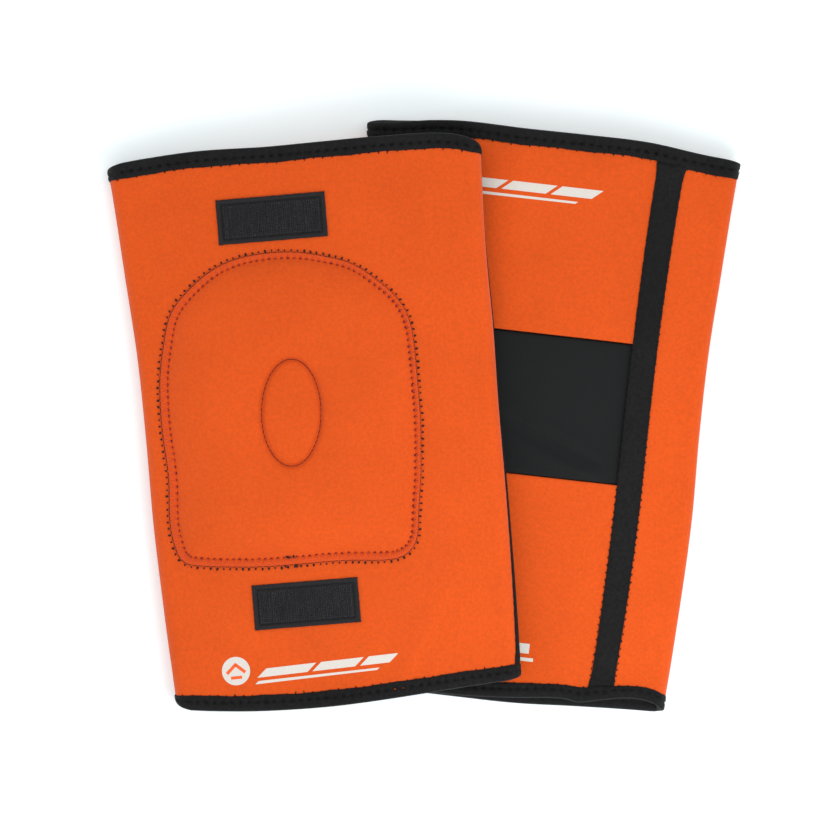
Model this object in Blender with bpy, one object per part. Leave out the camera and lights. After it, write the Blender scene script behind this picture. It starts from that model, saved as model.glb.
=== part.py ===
"""A pair of slip-on neoprene knee pads laid out flat, one on the other, in metres with +Z up.

Each pad is a tapered tube: one wide front panel, three narrow back panels joined by two taped
side seams, a bound mouth at each end, a foam knee cushion under a sewn cover and two hook patches.
The lower pad lies back side up on its cushion. The upper pad lies front side up and leans on it.

Places on a pad are given in its own flat frame: x to the wearer's left across the front, y up the
leg from the middle of the pad, and z out of the front. A share tells how far round the tube a
place is: 0 is the middle of the front, 0.5 and -0.5 are the folds, and 1 is the middle of the back.
"""

import math
from dataclasses import dataclass

import bmesh
import bpy

# The sleeve
PAD_LENGTH = 0.344
NEOPRENE = 0.0035
STRETCH_FABRIC = 0.0012
GAP = 0.0003
MIDDLE_HALF_WIDTH = 0.1076
WIDTH_SPAN = 0.165
WIDTH_TERMS = (0.0017, 0.0009, 0.0026)
SEAM_GAP = 0.0006

# The side seams and what is sewn over the edges
LEFT_SEAM_X = 0.069
LEFT_SEAM_VEER = 0.0027
RIGHT_SEAM_BEHIND = 0.0058
RIGHT_SEAM_SLANT = 0.014
TAPE_WIDTH = 0.015
TAPE = 0.0008
BINDING_WIDTH = 0.0100
BINDING = 0.0008
STRETCH_TOP = 0.0505
STRETCH_BOTTOM = -0.0350

# The knee cushion
CUSHION_X = -0.0188
CUSHION_Y = 0.0120
CUSHION_LEAN = 0.07
CUSHION_HALF_WIDTH = 0.0805
CUSHION_WIDEST = -0.017
CUSHION_TOP = 0.0945
CUSHION_BOTTOM = -0.095
CUSHION_FOOT_HALF_WIDTH = 0.0760
CUSHION_CORNER = 0.014
ARCH_POWER = 2.75
CUSHION_RISE = 0.0105
# Where the hand-cut outline strays outward: a place about its middle, a reach and an amount.
STRAYS = (
    (-0.076, -0.088, 0.015, -0.0052),
    (-0.055, -0.094, 0.024, -0.0024),
    (-0.082, -0.035, 0.040, -0.0062),
    (-0.079, 0.010, 0.022, -0.0014),
    (-0.063, 0.062, 0.016, 0.0028),
    (-0.038, 0.088, 0.025, 0.0009),
    (0.034, 0.091, 0.020, -0.0036),
    (0.061, 0.078, 0.021, -0.0042),
    (0.079, 0.050, 0.018, 0.0014),
    (0.081, 0.010, 0.026, -0.0011),
    (0.052, -0.095, 0.020, 0.0026),
)
# Each pair is a distance in from the outline and a height over the front panel.
COVER_TOP = (
    (0.0000, 0.0018),
    (0.0010, 0.0024),
    (0.0068, 0.0026),
    (0.0115, 0.0062),
    (0.0175, 0.0091),
    (0.0240, 0.0102),
    (0.0310, CUSHION_RISE),
)
COVER_UNDER = (
    (0.0310, 0.0077),
    (0.0245, 0.0074),
    (0.0185, 0.0062),
    (0.0130, 0.0033),
    (0.0095, GAP),
    (0.0000, GAP),
)
FOAM_SHAPE = (
    (0.0115, GAP),
    (0.0145, 0.0029),
    (0.0200, 0.0058),
    (0.0255, 0.0070),
    (0.0310, 0.0073),
)

# The hook patches: each one's middle and width
HOOK_HEIGHT = 0.0272
HOOK_THICKNESS = 0.0020
HOOK_LEAN = math.radians(-0.9)
THIGH_HOOK = (-0.0175, 0.1269, 0.0662)
CALF_HOOK = (-0.0196, -0.1071, 0.0643)

# How the pads lie. The upper one climbs with the room's X until it is over the lower one.
UPPER_PLACE = (-0.0625, -0.0056)
UPPER_TURN = math.radians(5.65)
LOWER_PLACE = (0.0593, -0.0006)
LOWER_TURN = math.radians(-6.5)
CLIMB = 0.136
CLIMB_FROM = -0.196
CLIMB_EASES = -0.010
CLIMB_LEFT = 0.040
CLIMB_END = 0.060
FLARE_FROM = 0.141
FLARE_BENDS_OVER = 0.019
# Places across a pad, from the wearer's right fold to the left one, and places up the leg
ACROSS = (-1.0, -0.8, -0.5, -0.15, 0.15, 0.5, 0.8, 1.0)
UP_LEG = (-0.160, -0.100, -0.050, 0.0, 0.050, 0.100, 0.160)
SPREADS_FROM = 0.060
SPREADS_OVER = 0.045


@dataclass
class Mouth:
    """How far a mouth is drawn back at each place across, and how much more at its corners."""

    back: tuple
    right_corner: float
    left_corner: float


@dataclass
class Lay:
    """How one pad rests: its fold, its hollow, its mouths and how far its sides spread."""

    name: str
    place: tuple
    turn: float
    front_up: bool
    fold: float
    pillow: float
    front_flare: float
    back_flare: float
    thigh: Mouth
    calf: Mouth
    right_spread: tuple
    left_spread: tuple


UPPER = Lay(
    "upper_pad", UPPER_PLACE, UPPER_TURN, True, 0.0055, 0.0, 0.0030, 0.0,
    Mouth((0.0036, 0.0015, 0.0001, 0.0016, 0.0018, 0.0022, 0.0042, 0.0105), 0.0030, 0.0035),
    Mouth((0.0089, 0.0059, 0.0029, 0.0016, 0.0024, 0.0045, 0.0063, 0.0072), 0.0035, 0.0024),
    (-0.0006, -0.0002, 0.0001, -0.0010, -0.0013, 0.0002, 0.0009),
    (0.0001, 0.0002, 0.0004, 0.0006, 0.0013, 0.0003, 0.0),
)
LOWER = Lay(
    "lower_pad", LOWER_PLACE, LOWER_TURN, False, 0.0040, 0.0045, 0.0075, -0.0014,
    Mouth((0.0040, 0.0024, -0.0013, -0.0016, -0.0013, -0.0016, 0.0019, 0.0038), 0.0012, 0.0014),
    Mouth((0.0031, 0.0024, 0.0008, -0.0014, -0.0016, -0.0012, 0.0006, 0.0034), 0.0004, 0.0020),
    (0.0010, 0.0020, 0.0022, 0.0003, -0.0004, 0.0006, 0.0009),
    (0.0, 0.0, 0.0, 0.0, 0.0, 0.0, 0.0),
)
PILLOW_RISES = (-0.062, -0.014)
PILLOW_FALLS = (0.040, 0.102)
LOOSE_SIDE = (0.062, 0.110)
LOOSE_SIDE_DROP = 0.0092

# How finely the shapes are divided
FRONT_SHARES = (-0.43, -0.39, -0.34, -0.28, -0.14, 0.0, 0.14, 0.22, 0.28, 0.33, 0.38, 0.43)
BACK_SHARES = (0.565, 0.6, 0.635, 0.67, 0.71, 0.76, 0.83, 0.92, 1.0, -0.92, -0.84, -0.76, -0.715,
               -0.675, -0.635, -0.6, -0.565)
FOLD_STEPS = 8
RIGHT_SEAM_STEPS = 6
END_ROWS = (0.1420, 0.151, 0.1605)
MIDDLE_ROWS = (0.035, 0.095)


def smooth(value):
    """0 to 1 as the value goes from 0 to 1, level at both ends."""
    value = min(max(value, 0.0), 1.0)
    return value * value * (3 - 2 * value)


def half_width(y):
    """Half of the flat pad's width at a height up the leg: the thigh end flares."""
    t = y / WIDTH_SPAN
    first, second, third = WIDTH_TERMS
    return MIDDLE_HALF_WIDTH + first * t + second * t * t + third * t ** 3


def flat_half(pad, y):
    """The half width of the level part of the tube, between its folds."""
    return half_width(y) - pad.fold - NEOPRENE / 2


def half_girth(pad, y):
    """From the middle of the front to the middle of the back, along the wall."""
    return 2 * flat_half(pad, y) + math.pi * pad.fold


def eased(places, amounts, at):
    """The amount at a place, on a smooth curve through the amounts given at the places."""
    last = len(places) - 1
    slopes = []
    for k in range(last + 1):
        before, after = max(k - 1, 0), min(k + 1, last)
        slopes.append((amounts[after] - amounts[before]) / (places[after] - places[before]))
    k = 0
    while k < last - 1 and at > places[k + 1]:
        k += 1
    span = places[k + 1] - places[k]
    t = min(max((at - places[k]) / span, 0.0), 1.0)
    level = amounts[k] + (amounts[k + 1] - amounts[k]) * smooth(t)
    return level + span * t * (1 - t) * ((1 - t) * slopes[k] - t * slopes[k + 1])


def drawn_back(pad, share, along):
    """How far the wall is drawn back here, most at the mouths and not at all at the middle."""
    mouth = pad.thigh if along > 0 else pad.calf
    toward_fold = 1 - abs(1 - 2 * abs(share))
    back = eased(ACROSS, mouth.back, math.copysign(toward_fold, share))
    in_corner = max(0.0, (toward_fold - 0.90) / 0.10)
    near_mouth = max(0.0, (abs(along) - END_ROWS[0]) / (PAD_LENGTH / 2 - END_ROWS[0]))
    corner = mouth.left_corner if share > 0 else mouth.right_corner
    return back * (2 * along / PAD_LENGTH) ** 2 + corner * in_corner ** 2 * near_mouth


def spread(pad, x, y):
    """How far a side spreads beyond the even width, growing from the middle to the fold."""
    amounts = pad.left_spread if x > 0 else pad.right_spread
    return eased(UP_LEG, amounts, y) * smooth((abs(x) - SPREADS_FROM) / SPREADS_OVER)


def climb(room_x):
    """Height of the upper pad's underside over the floor, for a place in the room."""
    steady = min(room_x, CLIMB_EASES) - CLIMB_FROM
    eased = max(0.0, room_x - CLIMB_EASES)
    bend = (CLIMB - CLIMB_LEFT) / (2 * (CLIMB_END - CLIMB_EASES))
    return CLIMB * (steady + eased) - bend * eased ** 2


def upper_lift(x, y):
    """How far the upper pad's place (x, y) is lifted by leaning on the lower pad."""
    room_x = UPPER.place[0] + x * math.cos(UPPER.turn) - y * math.sin(UPPER.turn)
    return climb(room_x)


def side_hang(x):
    """How far the lower pad's free side hangs, from 0 at its cushion to 1 at the fold."""
    start, end = LOOSE_SIDE
    past = min(max(x - start, 0.0), end - start)
    return (past / (end - start)) ** 1.6


def pillow_rise(pad, x):
    """How far the back wall stands off from the front one, over the gap at the folds."""
    view_x = -x
    rises = (view_x - PILLOW_RISES[0]) / (PILLOW_RISES[1] - PILLOW_RISES[0])
    falls = (PILLOW_FALLS[1] - view_x) / (PILLOW_FALLS[1] - PILLOW_FALLS[0])
    return pad.pillow * smooth(rises) * smooth(falls)


def flared(along):
    """How far a mouth has given way, from 0 to 1 at its very end: a bend and then straight."""
    def gone(past):
        bent = min(past, FLARE_BENDS_OVER)
        return bent ** 2 / (2 * FLARE_BENDS_OVER) + past - bent

    return gone(max(0.0, abs(along) - FLARE_FROM)) / gone(PAD_LENGTH / 2 - FLARE_FROM)


def settled(pad, x, y, z, front_part, flare=0.0):
    """The pad's own flat place (x, y, z) as it lies: front_part is 1 on the front wall, 0 behind."""
    hang = 0.0 if pad.front_up else side_hang(x)
    x += math.copysign(1, x) * spread(pad, x, y)
    z += pad.front_flare * flare * front_part * (1 - hang)
    z -= (pad.back_flare * flare + pillow_rise(pad, x)) * (1 - front_part)
    wall = pad.fold + NEOPRENE / 2
    if pad.front_up:
        return (x, y, z + wall + upper_lift(x, y))
    return (-x, y, CUSHION_RISE + wall - z - LOOSE_SIDE_DROP * hang)


def on_wall(pad, share, along, out):
    """A place on the tube's wall, out being the height over the middle of its thickness."""
    if share > 1:
        share -= 2
    y = along - math.copysign(1, along) * drawn_back(pad, share, along)
    flat = flat_half(pad, y)
    travel = abs(share) * half_girth(pad, y)
    angle = min(max((travel - flat) / pad.fold, 0.0), math.pi)
    x = min(travel, flat) - max(0.0, travel - flat - math.pi * pad.fold)
    x += (pad.fold + out) * math.sin(angle)
    z = (pad.fold + out) * math.cos(angle)
    front_part = (1 + math.cos(angle)) / 2
    return settled(pad, math.copysign(x, share), y, z, front_part, flared(along))


def on_front(pad, x, y, height):
    """A place over the front panel's outer face."""
    return settled(pad, x, y, pad.fold + NEOPRENE / 2 + height, 1.0)


def left_seam(pad, along):
    """The share of the seam behind the wearer's right."""
    veer = LEFT_SEAM_VEER * (along / 0.150) ** 3
    travel = 2 * flat_half(pad, along) + math.pi * pad.fold - LEFT_SEAM_X - veer
    return -travel / half_girth(pad, along)


def right_seam(pad, along):
    """The share of the seam just behind the other fold."""
    behind = RIGHT_SEAM_BEHIND + RIGHT_SEAM_SLANT * along
    return 0.5 + behind / half_girth(pad, along)


def stations(pad):
    """The shares at which every piece of the wall is divided, once round from -1 to 1."""
    first = flat_half(pad, 0) / half_girth(pad, 0)
    fold = [first + (1 - 2 * first) * step / FOLD_STEPS for step in range(FOLD_STEPS + 1)]
    return sorted([*FRONT_SHARES, *BACK_SHARES, *fold, *[-share for share in fold]])


def steps_between(start, end, count):
    """Shares just short of the end, in even steps from the start."""
    return [start + (end - start) * step / count for step in range(count)]


def shares_between(pad, along, start, end, start_steps, end_steps):
    """Shares from one edge of a panel to its other edge, with the stations well inside them."""
    margin = 0.006
    twice_round = stations(pad) + [share + 2 for share in stations(pad)]
    widest_start = max(start(pad, at) for at in (-PAD_LENGTH / 2, PAD_LENGTH / 2))
    narrowest_end = min(end(pad, at) for at in (-PAD_LENGTH / 2, PAD_LENGTH / 2))
    inside = [s for s in twice_round if widest_start + margin < s < narrowest_end - margin]
    edge = SEAM_GAP / 2 / half_girth(pad, along)
    first, last = start(pad, along) + edge, end(pad, along) - edge
    near_start = steps_between(first, inside[0], start_steps)
    near_end = steps_between(inside[-1], last, end_steps)
    return [*near_start, *inside[:-1], *near_end, last]


def panel_end():
    """How far up or down the middle line the neoprene reaches, inside its binding."""
    return PAD_LENGTH / 2 - BINDING - 3 * GAP


def rows_between(low, high):
    """Places along the leg at which a piece is divided."""
    middle = [side * row for row in (*MIDDLE_ROWS, *END_ROWS) for side in (-1, 1)]
    inside = sorted(row for row in middle if low + 0.004 < row < high - 0.004)
    return [low, *inside, high]


def fabric(name, color, roughness):
    """A plain material with the look of cloth."""
    made = bpy.data.materials.new(name)
    made.use_nodes = True
    shader = made.node_tree.nodes["Principled BSDF"]
    shader.inputs["Base Color"].default_value = (*color, 1)
    shader.inputs["Roughness"].default_value = roughness
    return made


def orange_neoprene():
    return fabric("orange_neoprene", (0.82, 0.11, 0.012), 0.85)


def black_tape():
    return fabric("black_tape", (0.018, 0.018, 0.019), 0.8)


def black_stretch():
    return fabric("black_stretch", (0.014, 0.014, 0.016), 0.7)


def black_hook():
    return fabric("black_hook", (0.012, 0.012, 0.013), 0.6)


def grey_foam():
    return fabric("grey_foam", (0.32, 0.32, 0.33), 0.95)


def add_object(pad, name, points, faces, material):
    """One closed body as its own object, carried by its pad."""
    mesh = bpy.data.meshes.new(f"{pad.name}_{name}")
    mesh.from_pydata(points, [], faces)
    shape = bmesh.new()
    shape.from_mesh(mesh)
    bmesh.ops.recalc_face_normals(shape, faces=shape.faces)
    shape.to_mesh(mesh)
    shape.free()
    mesh.materials.append(material)
    made = bpy.data.objects.new(mesh.name, mesh)
    bpy.context.scene.collection.objects.link(made)
    made.parent = bpy.data.objects[pad.name]
    return made


def add_sheet(pad, name, top, bottom, material):
    """A closed sheet between two grids of places that have the same rows and columns."""
    rows, columns = len(top), len(top[0])
    count = rows * columns
    points = [point for grid in (top, bottom) for row in grid for point in row]
    faces = []
    for j in range(rows - 1):
        for i in range(columns - 1):
            a = j * columns + i
            faces.append((a, a + 1, a + columns + 1, a + columns))
            faces.append((count + a, count + a + columns, count + a + columns + 1, count + a + 1))
    rim = list(range(columns))
    rim += [j * columns + columns - 1 for j in range(1, rows)]
    rim += [(rows - 1) * columns + i for i in range(columns - 2, -1, -1)]
    rim += [j * columns for j in range(rows - 2, 0, -1)]
    for a, b in zip(rim, rim[1:] + rim[:1]):
        faces.append((a, count + a, count + b, b))
    return add_object(pad, name, points, faces, material)


def add_wall_piece(pad, name, shares_at, rows, inner, outer, material):
    """A piece of the tube's wall between two heights over the middle of its thickness."""
    grids = []
    for out in (outer, inner):
        grids.append([[on_wall(pad, share, row, out) for share in shares_at(row)] for row in rows])
    return add_sheet(pad, name, grids[0], grids[1], material)


def add_front_panel(pad):
    def shares_at(along):
        return shares_between(pad, along, left_seam, right_seam, 1, RIGHT_SEAM_STEPS)

    rows = rows_between(-panel_end(), panel_end())
    half = NEOPRENE / 2
    add_wall_piece(pad, "front_panel", shares_at, rows, -half, half, orange_neoprene())


def add_back_panel(pad, name, low, high, inner, outer, material):
    def far_left_seam(lay, along):
        return left_seam(lay, along) + 2

    def shares_at(along):
        return shares_between(pad, along, right_seam, far_left_seam, RIGHT_SEAM_STEPS, 1)

    add_wall_piece(pad, name, shares_at, rows_between(low, high), inner, outer, material)


def add_back_panels(pad):
    half = NEOPRENE / 2
    edge = SEAM_GAP / 2
    add_back_panel(pad, "calf_panel", -panel_end(), STRETCH_BOTTOM - edge, -half, half,
                   orange_neoprene())
    add_back_panel(pad, "stretch_panel", STRETCH_BOTTOM + edge, STRETCH_TOP - edge, -half,
                   -half + STRETCH_FABRIC, black_stretch())
    add_back_panel(pad, "thigh_panel", STRETCH_TOP + edge, panel_end(), -half, half,
                   orange_neoprene())


def add_seam_tape(pad, name, seam, steps):
    """The tape that covers one side seam from binding to binding."""

    def shares_at(along):
        step = TAPE_WIDTH / steps / half_girth(pad, along)
        return [seam(pad, along) + step * (i - steps / 2) for i in range(steps + 1)]

    reach = PAD_LENGTH / 2 - BINDING_WIDTH - 3 * GAP
    under = NEOPRENE / 2 + GAP
    add_wall_piece(pad, name, shares_at, rows_between(-reach, reach), under, under + TAPE,
                   black_tape())


def binding_section(end):
    """The folded strip's closed outline as (along, out), on the end of the wall."""
    sign = math.copysign(1, end)
    under = NEOPRENE / 2 + GAP
    over = under + BINDING
    nose = BINDING / 2
    side = [
        (BINDING_WIDTH, under),
        (BINDING_WIDTH, over),
        (nose, over),
        (0.0, over - nose),
    ]
    outline = [(end - sign * back, out) for back, out in side]
    outline += [(end - sign * back, -out) for back, out in reversed(side)]
    pocket = end - sign * (BINDING + GAP)
    return [*outline, (pocket, -under), (pocket, under)]


def add_binding(pad, name, end):
    """The strip folded over the raw edge of one mouth, all the way round."""
    section = binding_section(end)
    points = []
    for share in stations(pad):
        points += [on_wall(pad, share, along, out) for along, out in section]
    count = len(section)
    faces = []
    for i in range(len(points) // count):
        for k in range(count):
            a, b = i * count + k, i * count + (k + 1) % count
            c, d = (b + count) % len(points), (a + count) % len(points)
            faces.append((a, b, c, d))
    add_object(pad, name, points, faces, black_tape())


def cushion_outline():
    """The tombstone outline about the cushion's own middle, counterclockwise from its right side."""
    arch = []
    for step in range(21):
        angle = math.pi * step / 20
        across = abs(math.cos(angle)) ** (2 / ARCH_POWER)
        up = abs(math.sin(angle)) ** (2 / ARCH_POWER)
        x = math.copysign(CUSHION_HALF_WIDTH * across, math.cos(angle))
        arch.append((x, CUSHION_WIDEST + (CUSHION_TOP - CUSHION_WIDEST) * up))
    foot = []
    centre_x = CUSHION_FOOT_HALF_WIDTH - CUSHION_CORNER
    centre_y = CUSHION_BOTTOM + CUSHION_CORNER
    for step in range(5):
        angle = math.pi / 2 * step / 4
        x = centre_x + CUSHION_CORNER * math.cos(angle)
        foot.append((x, centre_y - CUSHION_CORNER * math.sin(angle)))
    halfway = ((CUSHION_HALF_WIDTH + CUSHION_FOOT_HALF_WIDTH) / 2 + 0.001, -0.050)
    right = [*[(x, y) for x, y in reversed(foot)], halfway]
    left = [(-x, y) for x, y in reversed(right)]
    bottom = [(-0.031, CUSHION_BOTTOM), (0.0, CUSHION_BOTTOM), (0.031, CUSHION_BOTTOM)]
    even = [(x + CUSHION_LEAN * y, y) for x, y in [*arch, *left, *bottom, *right]]
    strayed = []
    for k, (x, y) in enumerate(even):
        before, after = even[k - 1], even[(k + 1) % len(even)]
        ahead = (after[0] - before[0], after[1] - before[1])
        length = math.hypot(*ahead)
        out = 0.0
        for near_x, near_y, reach, amount in STRAYS:
            out += amount * math.exp(-((x - near_x) ** 2 + (y - near_y) ** 2) / reach ** 2)
        strayed.append((x + out * ahead[1] / length, y - out * ahead[0] / length))
    return strayed


def cushion_ring(pad, inset, height):
    """The outline drawn in by a distance at its sides, at a height over the front panel."""
    scale = 1 - inset / CUSHION_HALF_WIDTH
    ring = []
    for x, y in cushion_outline():
        ring.append(on_front(pad, CUSHION_X + scale * x, CUSHION_Y + scale * y, height))
    return ring


def add_ringed(pad, name, low, rings, high, material):
    """A closed body: a low middle point, rings outward and up over the edge, a high middle point."""
    count = len(rings[0])
    points = [low, *[point for ring in rings for point in ring], high]
    faces = []
    for k in range(count):
        after = (k + 1) % count
        faces.append((0, 1 + after, 1 + k))
        for ring in range(len(rings) - 1):
            a, b = 1 + ring * count + k, 1 + ring * count + after
            faces.append((a, b, b + count, a + count))
        last = 1 + (len(rings) - 1) * count
        faces.append((last + k, last + after, len(points) - 1))
    add_object(pad, name, points, faces, material)


def add_cushion_cover(pad):
    """The sewn cover: a flat edge on the panel that rises into a level dome, hollow below."""
    rings = [cushion_ring(pad, inset, height) for inset, height in (*COVER_UNDER, *COVER_TOP)]
    ceiling = on_front(pad, CUSHION_X, CUSHION_Y, COVER_UNDER[0][1])
    crown = on_front(pad, CUSHION_X, CUSHION_Y, CUSHION_RISE)
    add_ringed(pad, "cushion_cover", ceiling, rings, crown, orange_neoprene())


def add_cushion_foam(pad):
    """The foam slab that fills the cover."""
    rings = [cushion_ring(pad, inset, height) for inset, height in FOAM_SHAPE]
    bottom = on_front(pad, CUSHION_X, CUSHION_Y, GAP)
    top = on_front(pad, CUSHION_X, CUSHION_Y, FOAM_SHAPE[-1][1])
    add_ringed(pad, "cushion_foam", bottom, rings, top, grey_foam())


def add_hook_patch(pad, name, patch):
    """A flat patch of hook tape sewn to the front panel, leaning a little."""
    middle_x, middle_y, width = patch
    cos, sin = math.cos(HOOK_LEAN), math.sin(HOOK_LEAN)
    points = []
    for height in (GAP, GAP + HOOK_THICKNESS):
        for side_x, side_y in ((-1, -1), (1, -1), (1, 1), (-1, 1)):
            across, up = side_x * width / 2, side_y * HOOK_HEIGHT / 2
            x = middle_x + across * cos - up * sin
            points.append(on_front(pad, x, middle_y + across * sin + up * cos, height))
    faces = [(3, 2, 1, 0), (4, 5, 6, 7)]
    faces += [(k, (k + 1) % 4, (k + 1) % 4 + 4, k + 4) for k in range(4)]
    add_object(pad, name, points, faces, black_hook())


def add_pad(pad):
    """Everything that one pad is sewn from, carried by an empty at its middle."""
    carrier = bpy.data.objects.new(pad.name, None)
    carrier.location = (*pad.place, 0)
    carrier.rotation_euler = (0, 0, pad.turn)
    bpy.context.scene.collection.objects.link(carrier)
    add_front_panel(pad)
    add_back_panels(pad)
    add_seam_tape(pad, "left_seam_tape", left_seam, 2)
    add_seam_tape(pad, "right_seam_tape", right_seam, 2 * RIGHT_SEAM_STEPS)
    add_binding(pad, "thigh_binding", PAD_LENGTH / 2)
    add_binding(pad, "calf_binding", -PAD_LENGTH / 2)
    add_cushion_cover(pad)
    add_cushion_foam(pad)
    add_hook_patch(pad, "thigh_hook_patch", THIGH_HOOK)
    add_hook_patch(pad, "calf_hook_patch", CALF_HOOK)


def centre_on_floor():
    """Moves both pads so that the middle of the bottom of their box is the origin."""
    bpy.context.view_layer.update()
    meshes = [obj for obj in bpy.data.objects if obj.type == "MESH"]
    corners = [obj.matrix_world @ vertex.co for obj in meshes for vertex in obj.data.vertices]
    low = [min(corner[axis] for corner in corners) for axis in range(3)]
    high = [max(corner[axis] for corner in corners) for axis in range(3)]
    for name in (UPPER.name, LOWER.name):
        carrier = bpy.data.objects[name]
        carrier.location.x -= (low[0] + high[0]) / 2
        carrier.location.y -= (low[1] + high[1]) / 2
        carrier.location.z -= low[2]


for existing in list(bpy.data.objects):
    bpy.data.objects.remove(existing)
for each in (UPPER, LOWER):
    add_pad(each)
centre_on_floor()
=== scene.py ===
"""Looks for a pair of slip-on neoprene knee pads laid out flat, in metres with +Z up.

Each pad is a tapered tube of orange neoprene with a bound mouth at each end, taped side seams,
a black stretch panel behind the knee, a stitched knee cushion and two sewn hook patches.
The lower pad lies back side up. The upper pad lies front side up and leans on it.

Places on a pad are given in its own flat frame: x to the wearer's left across the front, y up the
leg from the middle of the pad, and z out of the front. A share tells how far round the tube a
place is: 0 is the middle of the front, 0.5 and -0.5 are the folds, and 1 is the middle of the back.
Heights are over the middle of the wall's thickness, or over the front panel's face where it says so.
"""

import math
from dataclasses import dataclass

import bmesh
import bpy
import numpy as np
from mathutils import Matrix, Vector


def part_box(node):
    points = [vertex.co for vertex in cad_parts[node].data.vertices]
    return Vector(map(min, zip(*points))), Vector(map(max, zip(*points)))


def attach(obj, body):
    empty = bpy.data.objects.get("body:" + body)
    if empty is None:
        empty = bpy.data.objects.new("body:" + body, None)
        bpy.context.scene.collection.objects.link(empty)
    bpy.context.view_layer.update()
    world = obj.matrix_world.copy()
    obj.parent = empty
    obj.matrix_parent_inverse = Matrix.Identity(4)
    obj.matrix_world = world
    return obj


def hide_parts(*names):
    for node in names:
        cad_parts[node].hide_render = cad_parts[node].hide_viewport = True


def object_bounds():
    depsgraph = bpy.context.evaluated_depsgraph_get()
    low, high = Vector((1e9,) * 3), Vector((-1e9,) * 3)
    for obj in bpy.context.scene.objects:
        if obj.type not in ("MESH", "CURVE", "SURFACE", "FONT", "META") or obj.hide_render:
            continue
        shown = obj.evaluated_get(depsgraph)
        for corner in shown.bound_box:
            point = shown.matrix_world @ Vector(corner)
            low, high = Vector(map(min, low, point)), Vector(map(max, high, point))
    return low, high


MM = 0.001

# The sleeve. The right seam lies a little off the frame's.
PAD_LENGTH = 0.344
NEOPRENE = 0.0035
HALF = NEOPRENE / 2
STRETCH_FABRIC = 0.0012
GAP = 0.0003
MIDDLE_HALF_WIDTH = 0.1076
WIDTH_SPAN = 0.165
WIDTH_TERMS = (0.0017, 0.0009, 0.0026)
SEAM_GAP = 0.0006
LEFT_SEAM_X = 0.069
LEFT_SEAM_VEER = 0.0027
RIGHT_SEAM_BEHIND = 0.0070
RIGHT_SEAM_SLANT = 0.025
TAPE_WIDTH = 0.015
TAPE = 0.0008
BINDING_WIDTH = 0.0100
BINDING = 0.0008
STRETCH_TOP = 0.0505
STRETCH_BOTTOM = -0.0350

# The knee cushion. The last of the strays below is not in the frame, so its left edge bulges more.
CUSHION_X = -0.0188
CUSHION_Y = 0.0120
CUSHION_LEAN = 0.07
CUSHION_HALF_WIDTH = 0.0805
CUSHION_WIDEST = -0.017
CUSHION_TOP = 0.0945
CUSHION_BOTTOM = -0.095
CUSHION_FOOT_HALF_WIDTH = 0.0760
CUSHION_CORNER = 0.014
ARCH_POWER = 2.75
CUSHION_RISE = 0.0105
# Where the hand-cut outline strays outward: a place about its middle, a reach and an amount.
STRAYS = (
    (-0.076, -0.088, 0.015, -0.0052),
    (-0.055, -0.094, 0.024, -0.0024),
    (-0.082, -0.035, 0.040, -0.0062),
    (-0.079, 0.010, 0.022, -0.0014),
    (-0.063, 0.062, 0.016, 0.0028),
    (-0.038, 0.088, 0.025, 0.0009),
    (0.034, 0.091, 0.020, -0.0036),
    (0.061, 0.078, 0.021, -0.0042),
    (0.079, 0.050, 0.018, 0.0014),
    (0.081, 0.010, 0.026, -0.0011),
    (0.052, -0.095, 0.020, 0.0026),
    (-0.079, 0.006, 0.042, 0.0023),
)

# The hook patches, as the frame has them: each one's middle and width
HOOK_HEIGHT = 0.0272
HOOK_THICKNESS = 0.0020
HOOK_LEAN = math.radians(-0.9)
THIGH_HOOK = (-0.0175, 0.1269, 0.0662)
CALF_HOOK = (-0.0196, -0.1071, 0.0643)

# How the pads lie. The upper pad's corners are drawn back a little more here than in the frame, and
# the near layer of the lower pad draws back at its mouths, which it doesn't in the frame.
CLIMB = 0.136
CLIMB_FROM = -0.196
CLIMB_EASES = -0.010
CLIMB_LEFT = 0.040
CLIMB_END = 0.060
FLARE_FROM = 0.141
FLARE_BENDS_OVER = 0.019
PILLOW_RISES = (-0.062, -0.014)
PILLOW_FALLS = (0.040, 0.102)
LOOSE_SIDE = (0.062, 0.110)
LOOSE_SIDE_DROP = 0.0092
# Where the lower pad's near layer draws back at each mouth, to the left of its middle, and how far
CALF_GIVES = (
    (-0.110, -0.024, 0.012, 0.034, 0.044, 0.053, 0.066, 0.079, 0.089, 0.098, 0.105),
    (0.0003, 0.0016, 0.0044, 0.0062, 0.0060, 0.0038, 0.0064, 0.0092, 0.0094, 0.0070, 0.0020),
)
THIGH_GIVES = ((-0.116, -0.100, -0.088, -0.076), (0.0016, 0.0016, 0.0007, 0.0))
GIVES_AT_MOST = 0.74
GIVES_BEFORE_RISING = 0.0022
GIVES_RISE = 0.45
# Places across a pad, from the wearer's right fold to the left one, and places up the leg
ACROSS = (-1.0, -0.8, -0.5, -0.15, 0.15, 0.5, 0.8, 1.0)
UP_LEG = (-0.160, -0.100, -0.050, 0.0, 0.050, 0.100, 0.160)
SPREADS_FROM = 0.060
SPREADS_OVER = 0.045

# Stitching: how far apart the stitches are, and where they bite
BINDING_PITCH = 0.0054
BINDING_PIT = 0.0056
BINDING_NIB = 0.0106
PINCH = 0.75
TAPE_PITCH = 0.0046
CUSHION_PITCH = 0.0039
OUTER_ROW = -0.0011
# Where the cushion's seam ends in a few stitches over each other
BACK_TACK = ((-0.0279, -0.0779), (-0.0243, -0.0777), (-0.0297, -0.0836), (-0.0232, -0.0839))
# The most that the foam's pressure may lift or lower the cover
LIFT_CAP = 0.0030
QUILT_CENTRE = (-0.0172, 0.0088)
QUILT_HALF_SIZE = (0.0180, 0.0323)
QUILT_LEAN = math.radians(5.65)
QUILT_PITCH = 0.0027
HOOK_SEAM = 0.0031

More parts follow.
